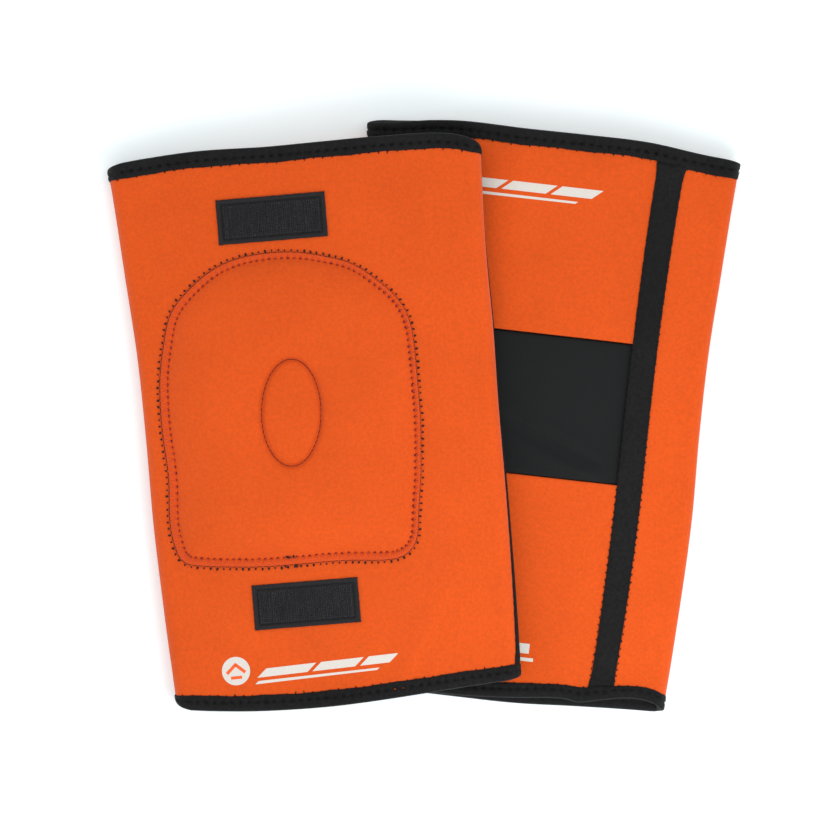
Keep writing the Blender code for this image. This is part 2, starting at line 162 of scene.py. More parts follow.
# The studio: the floor's own glow, the light from all round, and the key light's place and power
FLOOR_GLOW = 0.24
ROUND_LIGHT = 0.97
KEY_PLACE = (0.25, -0.35, 0.62)
KEY_SIZE = 0.5
KEY_WATTS = 2.4


@dataclass
class Mouth:
    """How far a mouth is drawn back at each place across, and how much more at its corners."""

    back: tuple
    right_corner: float
    left_corner: float


@dataclass
class Lay:
    """How one pad rests: its fold, its hollow, its mouths and how far its sides spread."""

    name: str
    place: tuple
    turn: float
    front_up: bool
    fold: float
    pillow: float
    front_flare: float
    back_flare: float
    thigh: Mouth
    calf: Mouth
    right_spread: tuple
    left_spread: tuple
    seed: int


UPPER = Lay(
    "upper_pad", (-0.0625, -0.0056), math.radians(5.65), True, 0.0055, 0.0, 0.0030, 0.0,
    Mouth((0.0036, 0.0015, 0.0001, 0.0016, 0.0018, 0.0022, 0.0042, 0.0105), 0.0028, 0.0055),
    Mouth((0.0089, 0.0059, 0.0029, 0.0016, 0.0024, 0.0045, 0.0063, 0.0072), 0.0055, 0.0024),
    (-0.0006, -0.0002, 0.0001, -0.0010, -0.0013, 0.0002, 0.0009),
    (0.0001, 0.0002, 0.0004, 0.0006, 0.0013, 0.0003, 0.0),
    3,
)
LOWER = Lay(
    "lower_pad", (0.0593, -0.0006), math.radians(-6.5), False, 0.0040, 0.0045, 0.0075, -0.0014,
    Mouth((0.0040, 0.0024, -0.0013, -0.0016, -0.0013, -0.0016, 0.0019, 0.0038), 0.0012, 0.0014),
    Mouth((0.0031, 0.0024, 0.0008, -0.0014, -0.0016, -0.0012, 0.0006, 0.0034), 0.0004, 0.0020),
    (0.0010, 0.0020, 0.0022, 0.0003, -0.0004, 0.0006, 0.0009),
    (0.0, 0.0, 0.0, 0.0, 0.0, 0.0, 0.0),
    8,
)


# The shape of the tube


def smooth(value):
    """0 to 1 as the value goes from 0 to 1, level at both ends."""
    value = np.clip(value, 0.0, 1.0)
    return value * value * (3 - 2 * value)


def hump(distance, width):
    """A soft bump, 1 at its middle."""
    return np.exp(-((distance / width) ** 2))


def turned(x, y, angle):
    """A place or a direction, turned counterclockwise."""
    cos, sin = np.cos(angle), np.sin(angle)
    return x * cos - y * sin, x * sin + y * cos


def half_width(y):
    """Half of the flat pad's width at a height up the leg: the thigh end flares."""
    t = y / WIDTH_SPAN
    first, second, third = WIDTH_TERMS
    return MIDDLE_HALF_WIDTH + first * t + second * t * t + third * t ** 3


def flat_half(pad, y):
    """The half width of the level part of the tube, between its folds."""
    return half_width(y) - pad.fold - HALF


def half_girth(pad, y):
    """From the middle of the front to the middle of the back, along the wall."""
    return 2 * flat_half(pad, y) + math.pi * pad.fold


def eased(places, amounts, at):
    """The amount at a place, on a smooth curve through the amounts given at the places."""
    places, amounts = np.array(places), np.array(amounts)
    before = np.maximum(np.arange(len(places)) - 1, 0)
    after = np.minimum(np.arange(len(places)) + 1, len(places) - 1)
    slopes = (amounts[after] - amounts[before]) / (places[after] - places[before])
    k = np.clip(np.searchsorted(places, at, side="right") - 1, 0, len(places) - 2)
    span = places[k + 1] - places[k]
    t = np.clip((at - places[k]) / span, 0.0, 1.0)
    level = amounts[k] + (amounts[k + 1] - amounts[k]) * smooth(t)
    return level + span * t * (1 - t) * ((1 - t) * slopes[k] - t * slopes[k + 1])


def toward_fold(share):
    """0 at the middle of the front or the back, 1 at a fold."""
    return 1 - np.abs(1 - 2 * np.abs(share))


def drawn_back(pad, share, along):
    """How far the wall is drawn back here, most at the mouths and not at all at the middle."""
    across = np.copysign(toward_fold(share), share)
    back = np.where(along > 0, eased(ACROSS, pad.thigh.back, across),
                    eased(ACROSS, pad.calf.back, across))
    at_left = np.where(along > 0, pad.thigh.left_corner, pad.calf.left_corner)
    at_right = np.where(along > 0, pad.thigh.right_corner, pad.calf.right_corner)
    in_corner = np.maximum(0.0, (toward_fold(share) - 0.90) / 0.10)
    in_binding = smooth((np.abs(along) - PAD_LENGTH / 2) / BINDING_WIDTH + 1)
    corner = np.where(share > 0, at_left, at_right) * in_corner ** 2 * in_binding
    return back * (2 * along / PAD_LENGTH) ** 2 + corner


def along_for(pad, share, y):
    """Where up the undrawn pad a place lies."""
    along = y
    for _ in range(5):
        along = y + np.sign(y) * drawn_back(pad, share, along)
    return along


def spread(pad, x, y):
    """How far a side spreads beyond the even width, growing from the middle to the fold."""
    amounts = np.where(x > 0, eased(UP_LEG, pad.left_spread, y), eased(UP_LEG, pad.right_spread, y))
    return amounts * smooth((np.abs(x) - SPREADS_FROM) / SPREADS_OVER)


def climb(room_x):
    """Height of the upper pad's underside over the floor, for a place in the room."""
    steady = np.minimum(room_x, CLIMB_EASES) - CLIMB_FROM
    past = np.maximum(0.0, room_x - CLIMB_EASES)
    bend = (CLIMB - CLIMB_LEFT) / (2 * (CLIMB_END - CLIMB_EASES))
    return CLIMB * (steady + past) - bend * past ** 2


def side_hang(x):
    """How far the lower pad's free side hangs, from 0 at its cushion to 1 at the fold."""
    start, end = LOOSE_SIDE
    return (np.clip(x - start, 0.0, end - start) / (end - start)) ** 1.6


def pillow_rise(pad, x):
    """How far the back wall stands off from the front one, over the gap at the folds."""
    rises = (-x - PILLOW_RISES[0]) / (PILLOW_RISES[1] - PILLOW_RISES[0])
    falls = (PILLOW_FALLS[1] + x) / (PILLOW_FALLS[1] - PILLOW_FALLS[0])
    return pad.pillow * smooth(rises) * smooth(falls)


def flared(along):
    """How far a mouth has given way, from 0 to 1 at its very end: a bend and then straight."""
    def gone(past):
        bent = np.minimum(past, FLARE_BENDS_OVER)
        return bent ** 2 / (2 * FLARE_BENDS_OVER) + past - bent

    past = np.maximum(0.0, np.abs(along) - FLARE_FROM)
    return gone(past) / gone(PAD_LENGTH / 2 - FLARE_FROM)


def slack(pad, share, along):
    """Soft waves in the wall that the sewing leaves, strongest toward the mouths."""
    rng = np.random.default_rng(pad.seed)
    total = 0.0
    for waves in (3, 4, 5, 7):
        slope = rng.uniform(-30, 30)
        phase = rng.uniform(0, 2 * math.pi)
        total = total + 0.11 * MM * np.sin(waves * math.pi * share + slope * along + phase)
    near_mouth = smooth((np.abs(along) - 0.115) / 0.05)
    for waves in (9, 13):
        phase = rng.uniform(0, 2 * math.pi)
        turn = np.where(along > 0, phase, -phase)
        total = total + 0.16 * MM * near_mouth * np.sin(waves * math.pi * share + turn)
    return total


def near_layer_gives(pad, x, y):
    """How far the lower pad's near layer draws back at its mouths, so that the far one shows."""
    if pad.front_up:
        return 0.0
    return np.where(y < 0, eased(*CALF_GIVES, -x), eased(*THIGH_GIVES, -x))


def settled(pad, x, y, z, front_part, flare):
    """The pad's own flat place (x, y, z) as it lies: front_part is 1 on the front wall, 0 behind."""
    hang = 0.0 if pad.front_up else side_hang(x)
    x = x + np.sign(x) * spread(pad, x, y)
    z = z + pad.front_flare * flare * front_part * (1 - hang)
    z = z - (pad.back_flare * flare + pillow_rise(pad, x)) * (1 - front_part)
    given = near_layer_gives(pad, x, y) * np.minimum(flare, GIVES_AT_MOST) * (1 - front_part)
    y = y - np.copysign(given, y)
    z = z - np.maximum(0.0, given - GIVES_BEFORE_RISING * flare) * GIVES_RISE
    wall = pad.fold + HALF
    if pad.front_up:
        room_x = pad.place[0] + turned(x, y, pad.turn)[0]
        return x, y, z + wall + climb(room_x)
    return -x, y, CUSHION_RISE + wall - z - LOOSE_SIDE_DROP * hang


def in_room(pad, x, y, z):
    """Points of the pad's own frame, where they are in the room."""
    x, y = turned(x, y, pad.turn)
    x, y = pad.place[0] + x + SHIFT[0], pad.place[1] + y + SHIFT[1]
    return np.stack(np.broadcast_arrays(x, y, z + SHIFT[2]), axis=-1)


def on_wall(pad, share, along, out):
    """Points on the tube's wall, out being the height over the middle of its thickness."""
    share, along, out = np.broadcast_arrays(share, along, out)
    share = np.where(share > 1, share - 2, share)
    y = along - np.sign(along) * drawn_back(pad, share, along)
    flat = flat_half(pad, y)
    travel = np.abs(share) * half_girth(pad, y)
    angle = np.clip((travel - flat) / pad.fold, 0.0, math.pi)
    out = out + slack(pad, share, along)
    x = np.minimum(travel, flat) - np.maximum(0.0, travel - flat - math.pi * pad.fold)
    x = x + (pad.fold + out) * np.sin(angle)
    z = (pad.fold + out) * np.cos(angle)
    front_part = (1 + np.cos(angle)) / 2
    return in_room(pad, *settled(pad, np.copysign(x, share), y, z, front_part, flared(along)))


def on_front(pad, x, y, height):
    """Points over the front panel's face."""
    share = x / half_girth(pad, y)
    return on_wall(pad, share, along_for(pad, share, y), HALF + height)


def on_back(pad, view_x, y, height):
    """Points over the back panels' face, view_x being to the right as the back is looked at."""
    travel = 2 * flat_half(pad, y) + math.pi * pad.fold - np.abs(view_x)
    share = np.copysign(travel / half_girth(pad, y), -view_x)
    return on_wall(pad, share, along_for(pad, share, y), HALF + height)


def on_patch(patch, across, up):
    """Places on a hook patch, given from its own middle, as places on the front."""
    x, y = turned(across, up, HOOK_LEAN)
    return patch[0] + x, patch[1] + y


def frame_shift():
    """From where these functions put a flat patch to where the frame has it."""
    low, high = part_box("lower_pad_thigh_hook_patch")
    corners = []
    for side_x in (-1, 1):
        for side_y in (-1, 1):
            for height in (GAP, GAP + HOOK_THICKNESS):
                x, y = on_patch(THIGH_HOOK, side_x * THIGH_HOOK[2] / 2, side_y * HOOK_HEIGHT / 2)
                z = LOWER.fold + HALF + height
                place = settled(LOWER, x, y, z, 1.0, 0.0)
                corners.append(in_room(LOWER, *place))
    corners = np.array(corners)
    middle = (corners.min(0) + corners.max(0)) / 2
    return (np.array(low) + np.array(high)) / 2 - middle


# Materials


class Shading:
    """One node material being put together."""

    def __init__(self, name):
        self.material = bpy.data.materials.new(name)
        self.material.use_nodes = True
        self.tree = self.material.node_tree
        self.shader = self.tree.nodes["Principled BSDF"]
        self.cloth = self.node("ShaderNodeUVMap", {"uv_map": "cloth"}).outputs[0]
        self.room = self.node("ShaderNodeTexCoord").outputs["Object"]

    def link(self, value, socket):
        if isinstance(value, bpy.types.NodeSocket):
            self.tree.links.new(value, socket)
        else:
            socket.default_value = value

    def node(self, kind, settings=None, **inputs):
        made = self.tree.nodes.new(kind)
        for name, value in (settings or {}).items():
            setattr(made, name, value)
        for name, value in inputs.items():
            key = int(name[1:]) if name[0] == "i" and name[1:].isdigit() else name.replace("_", " ")
            self.link(value, made.inputs[key])
        return made

    def math(self, operation, first, second=0.0, third=0.0):
        return self.node("ShaderNodeMath", {"operation": operation},
                         i0=first, i1=second, i2=third).outputs[0]

    def times(self, first, second):
        return self.math("MULTIPLY", first, second)

    def sine(self, angle):
        return self.math("SINE", angle)

    def noise(self, place, scale, detail=2.0, roughness=0.5):
        made = self.node("ShaderNodeTexNoise", Vector=place, Scale=scale, Detail=detail,
                         Roughness=roughness)
        return made.outputs["Fac"]

    def spread(self, value, low, high, to_low, to_high):
        """The value's span from low to high, spread from to_low to to_high."""
        made = self.node("ShaderNodeMapRange", Value=value, From_Min=low, From_Max=high,
                         To_Min=to_low, To_Max=to_high)
        return made.outputs[0]

    def mix(self, share, first, second):
        made = self.node("ShaderNodeMix", {"data_type": "RGBA"}, i0=share, i6=first, i7=second)
        return made.outputs[2]

    def brighten(self, color, amount):
        made = self.node("ShaderNodeHueSaturation", Color=color, Value=amount)
        return made.outputs["Color"]

    def bump(self, height, distance, strength=1.0, normal=None):
        inputs = {"Height": height, "Distance": distance, "Strength": strength}
        if normal is not None:
            inputs["Normal"] = normal
        return self.node("ShaderNodeBump", **inputs).outputs["Normal"]

    def finish(self, color, roughness, normal=None, sheen=0.0, sheen_tint=(1, 1, 1, 1),
               specular=0.3):
        inputs = self.shader.inputs
        self.link(color, inputs["Base Color"])
        self.link(roughness, inputs["Roughness"])
        if normal is not None:
            self.link(normal, inputs["Normal"])
        inputs["Sheen Weight"].default_value = sheen
        inputs["Sheen Roughness"].default_value = 0.35
        inputs["Sheen Tint"].default_value = sheen_tint
        inputs["Specular IOR Level"].default_value = specular
        return self.material


def linear(red, green, blue):
    """A color given on the screen's 0 to 255 scale, as light."""
    return (*[((c / 255 + 0.055) / 1.055) ** 2.4 if c > 10 else c / 3295 for c in
              (red, green, blue)], 1)


def knit_height(shading, wale, course):
    """Rows of V-shaped knit loops: wale is a column's width and course a row's height."""
    parts = shading.node("ShaderNodeSeparateXYZ", Vector=shading.cloth)
    across = shading.times(parts.outputs[0], 1 / wale)
    up = shading.times(parts.outputs[1], 1 / course)
    in_column = shading.math("FRACT", across)
    from_middle = shading.math("ABSOLUTE", shading.math("SUBTRACT", in_column, 0.5))
    slanted = shading.math("ADD", up, shading.times(from_middle, 1.1))
    rows = shading.sine(shading.times(slanted, 2 * math.pi))
    columns = shading.sine(shading.times(in_column, 2 * math.pi))
    loops = shading.times(shading.math("ABSOLUTE", columns), 0.8)
    return shading.math("ADD", loops, shading.times(rows, 0.35))


def jersey(name, color, wale, course, depth, mottle, sheen, roughness, specular):
    """A knitted cloth with uneven dye, fine loops darkened in their grooves as painted shade, and a
    soft sheen.
    """
    shading = Shading(name)
    broad = shading.noise(shading.room, 22.0, 2.0)
    fine = shading.noise(shading.room, 520.0, 3.0, 0.65)
    loops = knit_height(shading, wale, course)
    value = shading.spread(broad, 0.3, 0.7, 1 - mottle, 1 + mottle)
    specks = shading.spread(fine, 0.25, 0.75, 1 - 3.2 * mottle, 1 + 3.2 * mottle)
    # The knit is darker in its low parts between the loops: painted shade in the grooves, beside the
    # loops' bump.
    painted_groove_shade = shading.spread(loops, 0.0, 1.0, 0.93, 1.03)
    shade = shading.times(shading.times(value, specks), painted_groove_shade)
    tinted = shading.brighten(color, shade)
    dimples = shading.bump(fine, 0.25 * MM, 0.35)
    normal = shading.bump(loops, depth, 0.6, dimples)
    rough = shading.spread(fine, 0.3, 0.7, roughness - 0.06, roughness + 0.06)
    tint = tuple(min(1.0, 0.22 + 0.78 * c) for c in color[:3]) + (1,)
    return shading.finish(tinted, rough, normal, sheen, tint, specular)


def foam_core():
    """The dark closed-cell rubber that shows at a cut edge."""
    shading = Shading("foam_core")
    cells = shading.noise(shading.room, 1800.0, 3.0, 0.7)
    color = shading.mix(cells, linear(30, 18, 16), linear(78, 44, 36))
    return shading.finish(color, 0.95, shading.bump(cells, 0.2 * MM, 0.6), specular=0.2)


def cushion_foam():
    """Grey foam with open pores."""
    shading = Shading("cushion_foam")
    cells = shading.node("ShaderNodeTexVoronoi", Vector=shading.room, Scale=900.0)
    pores = cells.outputs["Distance"]
    # Darker where the pores sink in: painted shade in the pores, following the bump's height.
    color = shading.mix(pores, linear(110, 110, 112), linear(168, 168, 170))
    return shading.finish(color, 0.95, shading.bump(pores, 0.5 * MM, 0.7), specular=0.2)


def thread(name, color, sheen=0.2):
    """Twisted sewing thread."""
    shading = Shading(name)
    plies = shading.noise(shading.room, 2600.0, 2.0)
    shade = shading.spread(plies, 0.25, 0.75, 0.75, 1.25)
    normal = shading.bump(plies, 0.08 * MM, 0.7)
    return shading.finish(shading.brighten(color, shade), 0.62, normal, sheen)


def hook_plastic():
    """Smooth nylon filament."""
    shading = Shading("hook_plastic")
    drawn_out = shading.node("ShaderNodeMapping", Vector=shading.room, Scale=(1.0, 0.10, 1.0))
    streaks = shading.noise(drawn_out.outputs[0], 900.0, 2.0)
    streaks = shading.spread(streaks, 0.35, 0.65, 0.45, 1.7)
    specks = shading.spread(shading.noise(shading.room, 700.0, 2.0), 0.3, 0.7, 0.5, 1.7)
    shade = shading.times(streaks, specks)
    return shading.finish(shading.brighten(linear(54, 55, 57), shade), 0.40, specular=0.45)


def hook_ground():
    """The tightly woven band that the hooks stand on."""
    shading = Shading("hook_ground")
    parts = shading.node("ShaderNodeSeparateXYZ", Vector=shading.cloth)
    warp = shading.sine(shading.times(parts.outputs[0], 2 * math.pi / 0.0005))
    weft = shading.sine(shading.times(parts.outputs[1], 2 * math.pi / 0.0006))
    weave = shading.times(warp, weft)
    fine = shading.noise(shading.room, 500.0, 2.0)
    # The colour follows the weave's height: a painted highlight on its raised crossings and painted
    # shade between them.
    shade = shading.times(shading.spread(weave, -1.0, 1.0, 0.8, 1.2),
                          shading.spread(fine, 0.3, 0.7, 0.85, 1.15))
    normal = shading.bump(weave, 0.1 * MM, 0.6)
    return shading.finish(shading.brighten(linear(37, 37, 39), shade), 0.75, normal, 0.04,
                          specular=0.15)


def print_ink(name, color):
    """Rubbery screen print that lets the knit show through a little."""
    shading = Shading(name)
    loops = knit_height(shading, 0.62 * MM, 0.50 * MM)
    fine = shading.noise(shading.room, 900.0, 3.0)
    shade = shading.spread(fine, 0.3, 0.7, 0.95, 1.03)
    normal = shading.bump(loops, 0.05 * MM, 0.4)
    return shading.finish(shading.brighten(color, shade), 0.55, normal, specular=0.35)


def pale_floor():
    """A seamless white sheet with the faintest unevenness."""
    shading = Shading("pale_floor")
    shade = shading.spread(shading.noise(shading.room, 6.0, 2.0), 0.3, 0.7, 0.99, 1.0)
    shading.shader.inputs["Emission Color"].default_value = (1, 1, 1, 1)
    shading.shader.inputs["Emission Strength"].default_value = FLOOR_GLOW
    return shading.finish(shading.brighten((0.85, 0.93, 0.945, 1), shade), 0.9, specular=0.1)


# Building meshes


def add_piece(pad, name, points, faces, materials, cloth=None, face_materials=None, sharp=50):
    """A closed mesh riding on its pad. cloth is each point's place on the cloth it is cut from."""
    mesh = bpy.data.meshes.new(f"{pad.name}_{name}")
    mesh.from_pydata(np.asarray(points).reshape(-1, 3).tolist(), [], faces)
    if cloth is not None:
        corners = np.empty(len(mesh.loops), np.int32)
        mesh.loops.foreach_get("vertex_index", corners)
        layer = mesh.uv_layers.new(name="cloth")
        layer.data.foreach_set("uv", np.asarray(cloth, np.float32)[corners].ravel())
    if face_materials is not None:
        mesh.polygons.foreach_set("material_index", np.asarray(face_materials, np.int32))
    for material in materials:
        mesh.materials.append(material)
    shape = bmesh.new()
    shape.from_mesh(mesh)
    bmesh.ops.recalc_face_normals(shape, faces=shape.faces)
    shape.to_mesh(mesh)
    shape.free()
    mesh.shade_smooth()
    mesh.set_sharp_from_angle(angle=math.radians(sharp))
    made = bpy.data.objects.new(mesh.name, mesh)
    bpy.context.scene.collection.objects.link(made)
    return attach(made, pad.name)


def grid_faces(rows, columns, first=0, around=False):
    """Quads between neighbouring points of a grid, closed into a ring if around."""
    across = columns if around else columns - 1
    j, i = np.meshgrid(np.arange(rows - 1), np.arange(across), indexing="ij")
    a = (first + j * columns + i).ravel()
    b = (first + j * columns + (i + 1) % columns).ravel()
    return np.stack([a, b, b + columns, a + columns], axis=1)


def sheet_faces(rows, columns):
    """Faces of a closed sheet of two grids, top points first, and which of them are its rim."""
    count = rows * columns
    top = grid_faces(rows, columns)
    bottom = grid_faces(rows, columns, count)[:, ::-1]
    rim = [*range(columns), *[j * columns + columns - 1 for j in range(1, rows)]]
    rim += [(rows - 1) * columns + i for i in range(columns - 2, -1, -1)]
    rim += [j * columns for j in range(rows - 2, 0, -1)]
    rim = np.array(rim)
    after = np.roll(rim, -1)
    edge = np.stack([rim, count + rim, count + after, after], axis=1)
    faces = np.concatenate([top, bottom, edge])
    is_rim = np.repeat([0, 0, 1], [len(top), len(bottom), len(edge)])
    return faces.tolist(), is_rim


def with_edges(start, end, spacing, edge=0.0004):
    """Even steps from start to end, with one extra step close to each end."""
    count = max(2, round((end - start) / spacing))
    inner = np.linspace(start + edge, end - edge, count)
    return np.concatenate([[start], inner, [end]])


def add_wall_piece(pad, name, starts, ends, low, high, inner, outer, materials, spacing=0.0018,
                   soften=0.0004, relief=None):
    """A piece of the wall between two seams and two places along the leg, its edges rounded."""
    rows = with_edges(low, high, spacing)
    middle = (low + high) / 2
    width = (ends(pad, middle) - starts(pad, middle)) * half_girth(pad, middle)
    steps = with_edges(0.0, width, spacing) / width
    along, step = np.meshgrid(rows, steps, indexing="ij")
    first, last = starts(pad, along), ends(pad, along)
    share = first + (last - first) * step
    travel = share * half_girth(pad, along)
    rounding = np.zeros_like(share)
    rounding[[0, -1], :] = soften
    rounding[:, [0, -1]] = soften
    lift = 0.0 if relief is None else relief(pad, share, along)
    top = on_wall(pad, share, along, outer - rounding + lift)
    bottom = on_wall(pad, share, along, inner + rounding + lift)
    faces, is_rim = sheet_faces(*share.shape)
    cloth = np.stack([travel, along], axis=-1).reshape(-1, 2)
    return add_piece(pad, name, np.stack([top, bottom]), faces, materials,
                     np.concatenate([cloth, cloth]), is_rim if len(materials) > 1 else None)


def tubes(lines, radius, sides=6):
    """Points and faces of round threads, one along each line of points, closed at both ends."""
    count, length, _ = lines.shape
    radius = np.broadcast_to(radius, (count, length))
    ahead = np.gradient(lines, axis=1)
    ahead /= np.linalg.norm(ahead, axis=2, keepdims=True) + 1e-12
    helper = np.where(np.abs(ahead[..., 2:3]) < 0.9, [[[0.0, 0.0, 1.0]]], [[[1.0, 0.0, 0.0]]])
    side = np.cross(ahead, helper)
    side /= np.linalg.norm(side, axis=2, keepdims=True)
    up = np.cross(side, ahead)
    angle = np.arange(sides) * 2 * math.pi / sides
    ring = (side[:, :, None] * np.cos(angle)[:, None] + up[:, :, None] * np.sin(angle)[:, None])
    points = lines[:, :, None] + ring * radius[:, :, None, None]
    one = grid_faces(length, sides, 0, around=True)
    offsets = np.arange(count) * length * sides
    faces = (one[None] + offsets[:, None, None]).reshape(-1, 4).tolist()
    for offset in offsets.tolist():
        faces.append([offset + k for k in range(sides)][::-1])
        faces.append([offset + (length - 1) * sides + k for k in range(sides)])
    return points.reshape(-1, 3), faces


def add_threads(pad, name, groups, material):
    """Threads as one piece: groups of (lines, radius)."""
    points, faces = [], []
    total = 0
    for lines, radius in groups:
        some, quads = tubes(lines, radius)
        points.append(some)
        faces += [[k + total for k in face] for face in quads]
        total += len(some)
    return add_piece(pad, name, np.concatenate(points), faces, [material], sharp=180)


# The sleeve's walls


def left_seam(pad, along):
    """The share of the seam behind the wearer's right."""
    veer = LEFT_SEAM_VEER * (along / 0.150) ** 3
    travel = 2 * flat_half(pad, along) + math.pi * pad.fold - LEFT_SEAM_X - veer
    return -travel / half_girth(pad, along)


def right_seam(pad, along):
    """The share of the seam just behind the other fold."""
    behind = RIGHT_SEAM_BEHIND + RIGHT_SEAM_SLANT * along
    return 0.5 + behind / half_girth(pad, along)


def beside(seam, side, turns=0):
    """The share of a panel's edge just after a seam, or just before it where side is -1."""
    def edge(pad, along):
        return seam(pad, along) + turns + side * SEAM_GAP / 2 / half_girth(pad, along)

    return edge


def panel_end():
    """How far up or down the middle line the neoprene reaches, inside its binding."""
    return PAD_LENGTH / 2 - BINDING - 3 * GAP


def view_place(pad, share, along):
    """A back panel's place as the back is looked at: to the right and up."""
    signed = np.where(share > 1, share - 2, share)
    travel = np.abs(signed) * half_girth(pad, along)
    x = 2 * flat_half(pad, along) + math.pi * pad.fold - travel
    return -np.copysign(x, signed), along


def crease(x, y, start, end, width):
    """A soft ridge between two points, fading at its ends."""
    start, end = np.array(start) * MM, np.array(end) * MM
    line = end - start
    length = np.linalg.norm(line)
    ahead = line / length
    forth = (x - start[0]) * ahead[0] + (y - start[1]) * ahead[1]
    aside = (y - start[1]) * ahead[0] - (x - start[0]) * ahead[1]
    fade = smooth(forth / (0.25 * length) + 0.5) * smooth((length - forth) / (0.25 * length) + 0.5)
    return hump(aside, width * MM) * fade


def stretch_relief(pad, share, along):
    """The thin panel's hollow under the neoprene's edge, its rise below, and its wrinkles."""
    x, y = view_place(pad, share, along)
    low, high = STRETCH_BOTTOM, STRETCH_TOP
    up = (y - low) / (high - low)
    rise = 1.9 * MM * (1 - smooth(up / 0.30)) + 0.5 * MM * np.sin(math.pi * np.clip(up, 0, 1))
    side = smooth((LEFT_SEAM_X - TAPE_WIDTH / 2 - x) / 0.012)
    wrinkles = 1.3 * crease(x, y, (-38, -1), (48, -34), 4.2)
    wrinkles += -0.9 * crease(x, y, (-6, 0), (50, -24), 3.0)
    wrinkles += 0.8 * crease(x, y, (-30, 12), (38, -14), 5.5)
    strength = 0.25 if pad.front_up else 1.0
    inside = smooth((y - low) / 0.006) * smooth((high - y) / 0.010)
    return rise * (0.4 + 0.6 * side) + MM * strength * wrinkles * inside * side


def front_relief(pad, share, along):
    """Two faint folds that run down to the calf mouth on the upper pad's front."""
    if not pad.front_up:
        return 0.0
    x = share * half_girth(pad, along)
    folds = 0.75 * crease(x, along, (30, -166), (63, -108), 6.0)
    return MM * (folds - 0.60 * crease(x, along, (38, -168), (72, -112), 4.5))


def declare_cloth(piece):
    """Reads a panel's places on the cloth it is cut from; nothing is done with them."""
    places = np.empty(len(piece.data.loops) * 2, np.float32)
    piece.data.uv_layers["cloth"].data.foreach_get("uv", places)


def add_panels(pad, looks):
    """The wide front panel and the three back panels."""
    wall = [looks["orange"], looks["core"]]
    end, edge = panel_end(), SEAM_GAP / 2
    front_sides = beside(left_seam, 1), beside(right_seam, -1)
    back_sides = beside(right_seam, 1), beside(left_seam, -1, 2)
    thin = (-HALF + STRETCH_FABRIC, [looks["stretch"]], 0.0012, 0.0002, stretch_relief)
    made = []
    for node, sides, low, high, rest in (
            ("front_panel", front_sides, -end, end, (HALF, wall, 0.0018, 0.0004, front_relief)),
            ("calf_panel", back_sides, -end, STRETCH_BOTTOM - edge, (HALF, wall)),
            ("thigh_panel", back_sides, STRETCH_TOP + edge, end, (HALF, wall)),
            ("stretch_panel", back_sides, STRETCH_BOTTOM + edge, STRETCH_TOP - edge, thin)):
        piece = add_wall_piece(pad, f"{node}_cloth", *sides, low, high, -HALF, *rest)
        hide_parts(f"{pad.name}_{node}")
        made.append(piece)
    front, calf, thigh, stretch = made
    declare_cloth(front)
    declare_cloth(calf)
    declare_cloth(thigh)
    declare_cloth(stretch)


# Tapes and bindings


def tape_height(aside, thickness=TAPE):
    """Height of a seam tape's face, aside being the distance from its middle line."""
    reach = np.abs(aside)
    pressed = 0.3 * MM * smooth((reach - TAPE_WIDTH / 2 + 0.0012) / 0.0012)
    row = 0.16 * MM * hump(reach - TAPE_WIDTH / 2 + 0.0016, 0.0006)
    return HALF + GAP + thickness - pressed - row - 0.12 * MM * hump(aside, 0.0012)


def add_seam_tape(pad, name, seam, thickness, looks):
    """The tape over one side seam, tucked under both bindings, with its two rows of stitches."""
    reach = PAD_LENGTH / 2 - BINDING_WIDTH + 0.0008
    rows = np.linspace(-reach, reach, round(2 * reach / 0.0015))
    aside = np.concatenate([np.linspace(-1, -0.72, 6), np.linspace(-0.6, 0.6, 9),
                            np.linspace(0.72, 1, 6)]) * TAPE_WIDTH / 2
    along, aside = np.meshgrid(rows, aside, indexing="ij")
    waver = 0.12 * MM * np.sin(along * 900 + np.sin(along * 210) * 2) * np.sign(aside)
    widened = 1 + 0.13 * smooth((np.abs(along) - reach + 0.012) / 0.012) + 0.45 * along
    aside_there = aside * widened + waver * (np.abs(aside) > 0.0074)
    share = seam(pad, along) + aside_there / half_girth(pad, along)
    tucked = smooth((np.abs(along) - reach + 0.0022) / 0.0012)
    face = tape_height(aside, thickness)
    top = on_wall(pad, share, along, face + (HALF + 0.4 * MM - face) * tucked)
    bottom = on_wall(pad, share, along, HALF + GAP / 2)
    faces, _ = sheet_faces(*share.shape)
    cloth = np.stack([aside, along], axis=-1).reshape(-1, 2)
    piece = add_piece(pad, f"{name}_cloth", np.stack([top, bottom]), faces, [looks["binding"]],
                      np.concatenate([cloth, cloth]))
    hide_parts(f"{pad.name}_{name}")
    add_tape_stitches(pad, name, seam, reach, thickness, looks)


